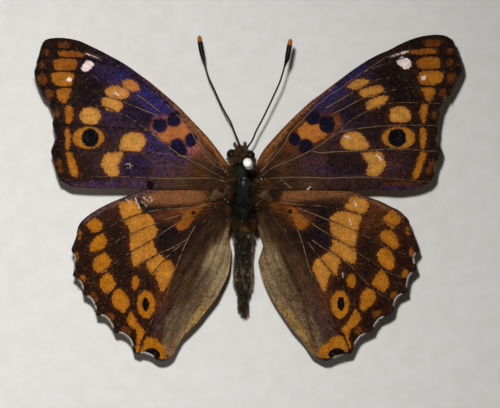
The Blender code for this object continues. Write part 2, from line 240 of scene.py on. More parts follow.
# Each wing has its leading edge outwards, its outer margin and its inner edge back to the body, in drawing units.
# Then come its markings: spots with a tone, from 0 for dull brown to 1 for bright orange, dark and pale spots, and
# washes of ink as (ink, strength, softness of the edge, shape). Rosy and blue are soft patches as (x, y, wide, high,
# turn, strength); the blue ones mark where a painted violet-blue sheen of single scales shows. Costa is the width of
# the brown band along the leading edge. A vein is (how bare it is at its root, how bare at its end, its line), and a
# fold is the line of a crease in the membrane, along which some shade is painted.
WINGS = {}
WINGS["forewing_left"] = {
    "height": fore_height,
    "lead": [
        (230, 166), (226, 160.5), (220, 152), (210, 139), (200, 128), (190, 117.5), (180, 107), (170, 98),
        (160, 89.6), (150, 81.4), (140, 74.3), (130, 67), (120, 60.8), (110, 55.5), (100, 50.3), (90, 45.5), (80, 41),
        (70, 38.7), (60, 37.7), (50, 38.5), (45, 40.5), (43, 43),
    ],
    "margin": [
        (43, 43), (41, 48), (39, 56), (37, 62), (36.6, 66), (34.7, 72), (35.5, 77.5), (39, 87), (44, 97), (48, 101),
        (50.5, 107), (53, 113), (54, 118), (52.8, 124), (54.5, 132), (55.5, 138), (53.5, 145), (51.3, 152),
        (53.5, 160), (57, 173), (60, 180), (64, 183),
    ],
    "inner": [
        (64, 183), (70, 186.5), (78, 187.8), (95, 188.8), (125, 189), (150, 190), (180, 190), (205, 190), (222, 190),
        (230, 189),
    ],
    "spots": [
        (0.12, [(59, 44), (66, 42), (70, 45), (67, 48.5), (60, 48)]),
        (0.34, [(59, 53), (70, 51), (84, 54), (83, 57), (70, 57.5), (60, 56.5)]),
        (0.42, [(54, 61), (62, 59), (76, 60), (78, 65), (75, 70), (62, 71), (55, 68)]),
        (0.55, [(52, 74), (60, 72.5), (73, 73), (74.5, 79), (71, 86), (62, 87), (54, 83)]),
        (0.5, [(58, 90), (64, 88), (72, 89), (70, 96), (66, 103.5), (61, 101), (58, 96)]),
        (0.5, [(67, 106), (72, 106), (74, 114), (72, 122), (69, 125), (66.5, 119), (66, 112)]),
        (0.55, [(66, 129), (70, 129), (71, 140), (70, 149), (66.5, 149), (66, 139)]),
        (0.6, [(66, 153), (72, 153), (77, 165), (79, 176), (73, 176), (69, 166)]), (0.1, (43, 65, 4, 6, 0)),
        (0.12, (43, 80, 9, 10, 0)), (0.12, (50, 94, 8, 10, 0)), (0.1, (58, 113, 5, 7, 0)), (0.06, (47, 53, 5, 5, 0)),
        (0.1, (60, 163, 5, 7, 0)), (0.1, (61, 170, 5, 6, 0)), (0.85, (131, 86, 18, 11, 22)),
        (1.0, (118, 93, 24.5, 13, 8)), (0.9, (112.5, 104.5, 22, 14, 18)),
        (1.0, [
            (84, 109), (93, 108), (98.5, 110), (101, 115), (100, 120), (96, 124.5), (88, 124.5), (82, 121), (80, 117),
            (81, 113),
        ]),
        (0.7, (89, 138, 31, 21.5, 0)),
        (1.0, [
            (131, 133), (138, 132.5), (143, 134.5), (146, 139), (146, 143), (143, 149), (140, 151.5), (130, 151.5),
            (121, 150), (120.5, 145), (122, 140), (125, 135),
        ]),
        (0.9, [
            (108, 153), (124, 152), (121.5, 160), (119, 165), (119.5, 171), (119, 175.5), (110, 176), (106, 172),
            (101.5, 164), (104, 158),
        ]),
        (0.72, [
            (158, 134), (163, 131), (167, 126), (178, 125), (183, 123), (188, 128), (190, 132), (186, 137),
            (183, 141), (176, 140), (172, 143), (165, 142), (160, 138),
        ]),
    ],
    "dark": [
        (91, 138, 17.5, 18.5, 0), [(186, 136), (191, 132.5), (196, 135.5), (197.5, 142), (192, 147.5), (186, 145)],
        [(171, 140.5), (178, 138), (183, 141), (186.5, 147), (187, 154.5), (179.5, 156), (172, 151)],
        [(153.5, 120.5), (160, 118.5), (166, 120.5), (168, 126), (165, 132), (158, 132.5), (153, 127.5)],
        [(168, 117.5), (172, 112), (178, 111.5), (180.5, 119), (179, 126), (171.5, 127), (167, 123)],
        [(147, 181), (154, 182), (153, 189), (148, 190)],
    ],
    "pale": [
        [(83, 71), (82, 68), (85, 64), (88, 61), (92, 62), (95, 64.5), (93, 67), (90, 70), (87, 72)],
        (70, 80, 5.5, 4.4, 0), ((88, 54.4), (99, 58.2), 0.9), ((87, 54), (93, 56), 1.3),
        ((115, 92.5), (119, 95.5), 1.5), ((126, 165), (130, 163), 0.4), ((130, 163), (131, 169), 0.3),
        ((127, 169), (133, 166), 0.4),
    ],
    "wash": [
        ("umber", 0.8, 12, (150, 160, 220, 70, 0)), ("plum", 0.9, 12, (158, 164, 114, 36, 0)),
        ("plum", 0.25, 10, (105, 138, 60, 60, 0)),
        ("violet", 0.9, 8, [
            (86, 62), (110, 62), (150, 88), (182, 114), (196, 132), (176, 150), (150, 150), (150, 128), (122, 102),
            (98, 80), (86, 74),
        ]),
        ("blue", 0.95, 5, [
            (116, 68), (126, 73), (148, 88), (172, 108), (178, 116), (164, 116), (152, 106), (146, 99), (134, 90),
            (112, 78),
        ]),
        ("violet", 0.7, 7, [(146, 134), (160, 140), (188, 158), (160, 156), (146, 152)]),
        ("black", 0.8, 4, [(124, 154), (146, 155), (150, 176), (122, 176)]),
        ("black", 0.7, 6, [(96, 66), (112, 84), (108, 104), (84, 106), (76, 92), (80, 76)]),
        ("black", 0.75, 4, [(142, 104), (156, 112), (152, 128), (122, 113), (126, 98)]),
        ("rust", 0.7, 8, (212, 160, 24, 34, -35)), ("brown", 0.8, 8, (200, 184, 84, 14, 0)),
        ("amber", 1.0, 8, (212, 170, 42, 34, 0)), ("umber", 0.75, 4, (212, 185, 38, 9, 0)),
        ("umber", 0.85, 4, [(231, 160), (222, 167), (220, 178), (223, 190), (232, 190)]),
        ("plum", 0.85, 3, (118, 185, 88, 8, 0)),
        ("rose", 0.9, 4, [
            (150, 130), (154, 120), (160, 116), (184, 118), (197, 134), (214, 166), (200, 161), (182, 150),
            (166, 143),
        ]),
        ("base", 0.85, 6, [
            (96, 58), (84, 76), (84, 104), (78, 122), (62, 150), (60, 176), (50, 178), (44, 100), (36, 70), (44, 42),
            (76, 44),
        ]),
        ("black", 0.45, 8, [(44, 42), (82, 42), (62, 100), (68, 150), (60, 184), (40, 100)]),
        ("tan", 0.6, 1.2, ((86.5, 53.6), (100.5, 58.8), 2.0)),
    ],
    "rosy": [(131, 85, 34, 22, 22, 0.6), (118, 93, 30, 16, 8, 0.3), (174, 134, 50, 34, 20, 0.95)],
    "blue": [
        (148, 98, 84, 24, 40, 0.95), (110, 76, 50, 20, 28, 0.4), (165, 146, 56, 26, 15, 0.7),
        (112, 185, 84, 8, 0, 0.6), (116, 116, 60, 40, 0, 0.3), (140, 164, 60, 26, 0, 0.45),
    ],
    "costa": 6.5,
    "veins": [
        (1.0, 0.1, [
            (224, 170), (214, 164), (200, 147), (190, 130), (180, 118), (170, 108), (160, 98), (150, 90), (140, 82),
            (120, 68), (104, 60), (85, 52), (68, 49.5), (44, 48),
        ]),
        (0.8, 0.8, [(224, 169), (205, 150), (195, 131), (184, 118)]),
        (1.0, 0.1, [
            (160, 112), (144, 99.5), (131, 91.5), (120, 86), (110, 82), (100, 79), (82, 73), (60, 71.5), (38, 73),
        ]),
        (1.0, 0.1, [
            (158, 116), (138, 108), (130, 105), (121, 101), (110, 98), (98, 93), (85, 90), (62, 87.5), (42, 90),
        ]),
        (0.3, 0.1, [(120, 68), (98, 62), (80, 59), (60, 58), (40, 59)]),
        (1.1, 0.25, [
            (224, 178), (205, 168), (190, 160), (180, 155), (165, 144), (150, 132), (140, 125), (130, 118),
            (118, 113), (108, 108), (88, 105.5), (66, 104.5), (50, 104),
        ]),
        (0.6, 0.1, [(158, 137), (147, 131), (130, 129), (100, 127), (75, 125), (55, 126)]),
        (1.0, 0.2, [(190, 158), (182, 156), (150, 152.5), (130, 152), (100, 150), (60, 151), (54, 151)]),
        (1.2, 0.35, [
            (226, 182), (213, 178.5), (190, 178.3), (160, 178.5), (130, 177), (95, 177), (70, 180), (60, 181),
        ]),
    ],
}
WINGS["forewing_right"] = {
    "height": fore_height,
    "lead": [
        (256, 164), (258, 158.5), (263, 150), (270, 141.6), (280, 130.4), (290, 120), (300, 110.4), (310, 101.3),
        (320, 94), (330, 86.3), (340, 78.8), (350, 71.4), (360, 64.6), (370, 58.5), (380, 53.5), (390, 49.3),
        (400, 44), (410, 39.7), (420, 36.6), (430, 35), (437, 34.7), (443, 35.3), (448, 37), (452.3, 40),
    ],
    "margin": [
        (452.3, 40), (454.2, 43.5), (456, 49), (458, 55), (460, 60), (461, 66), (461.5, 70), (459.5, 76), (455, 85),
        (449, 96), (446, 98), (443.5, 103), (440.5, 110), (438.8, 118), (437.5, 125), (437.4, 133), (436.7, 139),
        (439.5, 147), (440.5, 151.5), (438.4, 159.3), (436, 164), (434.5, 170), (434, 175.5), (431.7, 180),
        (427.5, 184),
    ],
    "inner": [
        (427.5, 184), (421, 186.8), (412, 189.3), (395, 190.8), (375, 189.8), (350, 191), (320, 190.5), (290, 190),
        (266, 190), (257, 189),
    ],
    "spots": [
        (0.12, [(423, 42), (432, 40), (440, 42), (438, 47), (428, 48)]),
        (0.36, [(408, 52.5), (420, 49.5), (434, 49), (436, 53), (424, 55), (412, 54.5)]),
        (0.45, [(415, 63), (422, 58), (436, 57.5), (440, 63), (437, 69), (424, 69.5), (417, 67.5)]),
        (0.55, [(417, 76), (422, 71.5), (436, 71), (443, 75), (440, 82), (432, 86), (422, 85), (418, 81)]),
        (0.55, [(420, 88), (428, 87), (434, 89), (433, 96), (430, 102), (426, 101), (423, 95)]),
        (0.55, [
            (421, 104), (427, 105), (426, 113), (425, 119), (423, 124), (420, 119), (419, 114), (416.5, 113),
            (420, 109),
        ]),
        (0.6, [(420, 128), (425, 129), (425.5, 140), (424, 149), (420, 149), (419, 139)]),
        (0.6, [(419, 153), (426, 153), (422, 166), (418, 178), (411.5, 178), (415, 166)]), (0.1, (449, 51, 6, 5, 0)),
        (0.12, (449, 63, 6, 7, 0)), (0.12, (451, 78, 8, 8, 0)), (0.12, (442, 94, 7, 9, 0)),
        (0.1, (434, 115, 5, 8, 0)), (0.1, (431, 164, 5, 7, 0)), (0.1, (428, 171, 5, 6, 0)),
        (0.85, [(347, 87), (352, 82), (360, 79), (365, 80), (369, 82), (364, 86), (358, 90), (351, 90)]),
        (0.9, [
            (358, 92), (363, 89), (370, 87), (376, 85.5), (381, 87), (384, 90), (380, 94), (373, 97), (367, 98),
            (361, 96),
        ]),
        (0.85, [
            (366, 103), (370, 100), (377, 97.5), (383, 96.5), (388, 98), (386, 102), (382, 106), (375, 109),
            (369, 110.5), (366, 108),
        ]),
        (0.9, [
            (390, 109), (398, 107), (405, 108), (409, 113), (410.5, 118), (407, 122), (398, 122.5), (391, 121),
            (389, 116),
        ]),
        (0.72, (398, 138, 33, 21.5, 0)),
        (0.9, [
            (341, 137), (347, 132.5), (357, 132.5), (363, 137), (367, 143), (369, 148), (362, 150), (350, 150.5),
            (343, 148), (340, 143),
        ]),
        (0.9, [
            (361, 153), (378, 152), (383, 156), (385, 165), (383, 170), (379, 175), (373, 176), (367, 175),
            (366, 171), (368, 167), (366, 162), (363, 157),
        ]),
        (0.62, [
            (297, 131), (303, 124), (308, 122), (312, 124), (320, 121), (320, 130), (327, 132), (326, 137),
            (320, 140), (315, 143), (305, 140), (299, 140),
        ]),
        (0.1, [(333, 117), (338, 115), (340, 122), (338, 130), (333, 128)]),
    ],
    "dark": [
        (396.5, 138, 18.4, 18.6, 0), [(288.5, 138), (293, 132), (299, 135.5), (300.5, 141), (295, 146.5), (290, 144)],
        [(298, 149), (301, 140), (309, 140), (312.5, 145), (309, 152.5), (301, 153)],
        [(318, 121), (323, 116.5), (332, 117), (334.5, 124), (332, 132.5), (325, 133.5), (320, 129)],
        [(305.5, 119), (309, 113), (316, 112), (320, 118), (318.5, 124.5), (309, 125)],
    ],
    "pale": [
        [
            (396, 62), (399, 59), (403, 57.5), (407, 59), (410, 62), (411, 66), (408, 69), (404, 69.5), (401, 67),
            (398, 65),
        ],
        (423, 78.5, 4.8, 4.4, 0), ((391, 56.6), (406, 52.2), 0.9), ((400, 54), (407.5, 51.9), 1.3),
        ((345, 136.5), (350, 138.5), 1.3), ((376, 155), (381, 160), 1.2), ((281, 180), (292, 188), 0.9),
        ((310, 187), (307, 190), 0.9),
    ],
    "wash": [
        ("umber", 0.8, 12, (350, 150, 190, 80, 0)), ("plum", 0.6, 14, (340, 166, 130, 36, 0)),
        ("violet", 0.8, 8, [
            (300, 112), (336, 82), (362, 68), (376, 74), (350, 96), (346, 120), (352, 132), (330, 140), (326, 128),
            (304, 118),
        ]),
        ("blue", 0.6, 4, [(312, 102), (334, 84), (362, 65), (366, 70), (346, 86), (322, 108)]),
        ("violet", 0.5, 5, (332, 169, 40, 10, 0)),
        ("black", 0.75, 4, [(326, 152), (360, 153), (368, 170), (360, 176), (330, 174)]),
        ("rust", 0.7, 8, (272, 160, 24, 34, 35)), ("brown", 0.8, 8, (288, 184, 70, 12, 0)),
        ("amber", 1.0, 8, (271, 170, 40, 34, 0)), ("umber", 0.75, 4, (272, 185, 38, 9, 0)),
        ("umber", 0.85, 4, [(255, 160), (265, 167), (267, 178), (264, 190), (254, 190)]),
        ("rust", 0.4, 4, (404, 184, 40, 8, 0)), ("blue", 0.3, 2, (398, 188.6, 36, 4, 0)),
        ("rust", 0.85, 5, [
            (272, 168), (290, 134), (300, 120), (318, 118), (334, 112), (342, 124), (330, 140), (310, 146),
            (290, 156),
        ]),
        ("base", 0.85, 6, [
            (386, 56), (412, 60), (414, 104), (416, 150), (408, 182), (430, 180), (440, 150), (440, 110), (460, 70),
            (450, 40), (420, 40),
        ]),
        ("black", 0.7, 6, [(380, 64), (404, 74), (412, 100), (404, 108), (386, 98), (370, 80)]),
        ("black", 0.6, 5, [(338, 100), (352, 104), (346, 122), (334, 118)]),
        ("tan", 0.6, 1.2, ((390, 57), (408, 51.6), 2.0)),
    ],
    "rosy": [(312, 132, 44, 34, -20, 0.4)],
    "blue": [
        (338, 88, 66, 15, -38, 0.6), (332, 169, 44, 8, 0, 0.15), (398, 188, 40, 5, 0, 0.35),
        (350, 124, 50, 36, 0, 0.1),
    ],
    "costa": 6.5,
    "veins": [
        (1.0, 0.7, [
            (260, 172), (270, 162), (280, 150), (285, 143), (290, 133), (300, 123), (310, 112), (320, 103), (330, 95),
            (340, 89), (350, 81), (362, 73), (385, 58),
        ]),
        (0.5, 0.1, [(385, 58), (405, 50), (428, 48), (452, 47)]),
        (0.8, 0.8, [(264, 162), (274, 152), (279, 143), (288, 132)]),
        (1.0, 0.2, [
            (325, 108.5), (335, 103), (345, 97), (356, 91), (368, 84), (378, 80), (400, 75), (415, 71), (436, 70),
            (459, 72),
        ]),
        (1.0, 0.2, [
            (333, 114), (345, 108), (356, 102), (365, 98), (375, 95), (395, 90), (410, 88), (430, 87), (452, 89),
        ]),
        (0.6, 0.2, [(362, 73), (385, 64), (405, 58), (425, 56), (456, 57)]),
        (1.1, 0.45, [
            (262, 176), (272, 168), (287, 162), (300, 156), (310, 151), (320, 145), (330, 138), (340, 131),
            (350, 121), (360, 115), (370, 110), (383, 105), (400, 103), (440, 104),
        ]),
        (0.7, 0.6, [(338, 133), (350, 130), (375, 127), (390, 126), (410, 125.5), (437, 126)]),
        (1.0, 0.6, [
            (312, 151), (320, 153), (335, 152), (360, 151), (385, 149.5), (405, 149.5), (425, 151), (440, 151.5),
        ]),
        (1.2, 0.6, [
            (264, 179), (287, 177.5), (310, 177.5), (327, 178.3), (345, 177.5), (370, 177.3), (390, 178.5),
            (405, 180), (428, 182),
        ]),
    ],
}
WINGS["hindwing_left"] = {
    "height": hind_height,
    "lead": [
        (233, 196), (224, 189), (212, 186), (203, 184.5), (190, 184), (165, 184.5), (150, 187), (140, 190.5),
        (130, 194), (120, 198), (110, 202.3), (100, 207.3), (90, 213.5), (82, 220), (78, 225.5), (76.5, 231),
    ],
    "margin": [
        (76.5, 231), (76, 237), (73.5, 243), (71, 250), (74.2, 257), (74, 262), (73.5, 270), (72.3, 275.4), (76, 279),
        (80.8, 284), (82, 290), (82.5, 294.6), (85, 296), (90, 299), (93.5, 304.6), (95, 310), (95.8, 315.4),
        (99, 316.5), (104, 317), (109, 322.3), (112, 327.7), (113.5, 332.3), (116, 334), (120.8, 334), (126, 337),
        (130, 342), (132, 349), (133, 353), (138.5, 355.5), (142, 354), (147, 355), (152, 357.7), (156, 361),
        (160.8, 362), (165, 361.7),
    ],
    "inner": [
        (165, 361.7), (169, 360), (173, 356), (176, 350), (179, 344), (183, 337.7), (190, 331), (195.4, 325.4),
        (199.6, 320.8), (208, 310), (217, 298.5), (220.8, 291.5), (227, 279), (229.6, 271.5), (230.8, 263),
        (231.5, 255), (231.2, 246), (229, 238), (229.5, 231), (233, 222),
    ],
    "spots": [
        (0.82, [
            (119, 203), (127, 200.5), (134, 200), (139, 206), (142, 212), (134, 216), (124, 219.5), (120.5, 213),
        ]),
        (0.82, [
            (142, 214), (148, 214), (153, 219), (155, 225), (155, 228), (140, 231), (131, 234), (129, 226),
            (124, 221),
        ]),
        (0.82, [(131, 234), (156, 227), (156.5, 235), (153, 240), (142, 246), (131, 251), (130, 243)]),
        (0.82, [
            (153, 241), (155, 247), (157, 253), (152, 257), (141, 264), (136, 268), (132, 263), (131, 256),
            (132, 251), (142, 246),
        ]),
        (0.82, [
            (159, 255), (163, 257), (165, 260), (160, 266), (155, 272), (152, 275), (149, 270), (146, 265),
            (148, 261),
        ]),
        (0.82, [
            (166, 261), (170, 260), (173, 265), (174, 270), (171, 278), (167, 286), (163, 292), (161, 291),
            (158, 283), (155, 275), (157, 270), (161, 264),
        ]),
        (0.62, [(95, 217.5), (102, 223), (103, 227), (100, 231), (93, 232.5), (89, 228), (87, 224.5)]),
        (0.62, [(103, 234), (107.5, 241), (104, 248), (98, 251), (92, 253), (90, 248), (91, 243), (96, 237)]),
        (0.62, [
            (104, 252.5), (109, 256), (111, 260), (109, 267), (103, 272), (98, 272.5), (93, 267), (94, 261),
            (98, 256),
        ]),
        (0.62, [
            (107, 272), (111, 275), (114, 280), (115.5, 285), (112, 291), (107, 294), (102, 290), (100, 284),
            (101, 279),
        ]),
        (0.62, [
            (119, 288), (123, 291), (127, 297), (129, 305), (126, 310), (124, 313), (118, 310), (113, 304),
            (112, 297), (115, 291),
        ]),
        (0.62, [
            (131, 311), (133, 316), (138, 324), (143, 330), (145, 332), (142, 338), (140, 342), (139, 349),
            (138, 355), (135.5, 351), (136, 345), (136, 332), (130, 326), (126.5, 320), (129, 314),
        ]),
        (0.62, [
            (140, 352), (143, 345), (146, 338), (152, 338), (158, 341), (163, 347), (165, 354), (165, 361),
            (155, 358), (147, 353),
        ]),
        (0.62, (145.8, 304.5, 17.5, 27, 0)), (0.55, (135.3, 283, 7.5, 14, 0)), (0.28, (79.5, 235, 4, 10, 0)),
        (0.28, (77, 257, 3.5, 10, 0)), (0.35, (83, 278.5, 6, 7, -20)), (0.12, (94, 298, 6, 10, -30)),
        (0.12, (109, 317, 9, 7, 30)), (0.1, (126, 331, 9, 6, 30)),
        (0.35, [
            (206, 203), (198, 206), (188, 209), (184, 215), (180, 220), (176, 226), (180, 231), (187, 228),
            (192, 222), (197, 214), (203, 210),
        ]),
        (0.15, [(170, 210), (178, 208), (186, 209), (184, 213), (176, 213)]),
    ],
    "dark": [(145.5, 304.5, 7.5, 13.5, 0), (193.5, 213, 4.4, 4.4, 0), (151.5, 355, 17, 13, 0)],
    "pale": [
        ((135, 198), (140, 208), 1.0), ((143, 197), (150, 202), 0.7), ((141, 201), (147, 207), 0.5),
        ((150, 196), (152, 201), 0.5), ((126, 199), (131, 203), 0.5),
    ],
    "wash": [
        ("rust", 0.18, 10, (112, 262, 90, 160, -25)),
        ("black", 0.6, 6, [
            (122, 224), (130, 250), (130, 268), (146, 276), (156, 292), (150, 330), (136, 340), (110, 324), (96, 302),
            (82, 284), (74, 262), (76, 236), (90, 218),
        ]),
        ("black", 0.8, 7, [(150, 210), (180, 214), (176, 236), (160, 254), (150, 244), (158, 226)]),
        ("rust", 0.6, 7, (186, 212, 64, 18, -10)),
        ("umber", 0.8, 8, [(178, 236), (206, 222), (190, 262), (170, 300), (156, 290), (172, 262)]),
        ("copper", 0.9, 4, [
            (142, 196), (160, 190), (190, 188), (206, 190), (210, 196), (198, 202), (170, 205), (146, 204),
        ]),
        ("umber", 0.7, 2, ((146, 207.5), (188, 206.5), 3.5)),
        ("lilac", 0.8, 2.5, [
            (82, 219), (98, 208), (120, 198), (148, 188), (164, 186), (150, 193), (122, 203), (100, 213), (84, 224),
        ]),
        ("brown", 0.95, 6, [
            (226, 206), (214, 216), (196, 246), (180, 268), (170, 296), (158, 330), (152, 344), (170, 352),
            (196, 320), (220, 288), (230, 262), (230, 236),
        ]),
        ("plum", 0.7, 6, [(170, 292), (178, 300), (172, 326), (166, 344), (152, 338), (158, 316)]),
        ("tan", 0.95, 4, [
            (218, 244), (223, 231), (228, 227), (230, 232), (231, 246), (232, 262), (228, 282), (212, 306),
            (196, 326), (180, 346), (168, 360), (162, 352), (166, 330), (170, 314), (190, 296), (204, 264),
            (214, 244),
        ]),
        ("fan", 0.75, 6, [
            (178, 300), (190, 286), (206, 268), (212, 276), (200, 306), (186, 328), (174, 344), (164, 350),
            (166, 322),
        ]),
        # The two thin fan strokes here lie along the folds: painted shade in the creases.
        ("brown", 0.55, 5, (226, 232, 14, 26, 0)), ("fan", 0.45, 2, ((214, 262), (190, 300), 4.0)),
        ("fan", 0.4, 2, ((222, 262), (200, 300), 3.0)), ("rust", 0.5, 4, (163, 296, 14, 30, 15)),
        ("brown", 0.45, 4, (204, 299, 15, 26, 35)),
        ("ochre", 0.6, 4, [(214, 302), (198, 324), (184, 342), (174, 352), (180, 336), (198, 310)]),
        ("black", 0.8, 7, ((227, 206), (202, 248), 6.0)), ("umber", 0.7, 4, (216, 194, 26, 14, 0)),
        ("umber", 0.8, 2.5, ((208, 236), (185, 271), 4.5)), ("umber", 0.8, 2.5, ((185, 271), (167, 314), 3.5)),
        ("umber", 0.55, 1.5, ((198, 268), (180, 316), 1.6)), ("rust", 0.5, 4, (170, 351, 10, 22, 20)),
    ],
    "rosy": [], "blue": [(160, 228, 30, 30, 0, 0.03), (130, 190, 60, 10, -15, 0.2)], "costa": 0.0,
    "folds": [
        [(226, 224), (214, 258), (196, 290), (178, 322), (168, 352)],
        [(228, 232), (222, 262), (206, 294), (188, 322), (172, 354)],
        [(229, 236), (227, 268), (212, 298), (194, 324), (178, 350)],
    ],
    "veins": [
        (0.7, 0.3, [
            (210, 206), (186, 208), (165, 209), (152, 211), (140, 214), (125, 219), (113, 225), (100, 232), (76, 236),
        ]),
        (0.7, 0.4, [(190, 212), (165, 220), (150, 226), (135, 232), (122, 238), (110, 245), (100, 250), (74, 257)]),
        (0.7, 0.4, [
            (186, 216), (176, 224), (165, 231), (155, 238), (143, 245), (130, 252.5), (118, 261), (108, 268),
            (90, 278), (76, 282),
        ]),
        (0.7, 0.2, [
            (186, 240), (172, 248), (160, 253), (150, 258), (140, 264), (130, 271), (123, 279), (115, 288),
            (105, 298), (94, 305),
        ]),
        (0.7, 0.3, [
            (183, 244), (172, 252), (164, 260), (155, 270), (147, 281), (140, 292), (131, 307), (122, 320),
            (114, 330),
        ]),
        (0.8, 0.4, [(195, 226), (185, 245), (175, 270), (168, 290), (160, 305), (152, 320), (147, 330), (139, 352)]),
        (0.4, 0.3, [(216, 210), (207, 218), (195, 232), (183, 242), (172, 249)]),
    ],
}
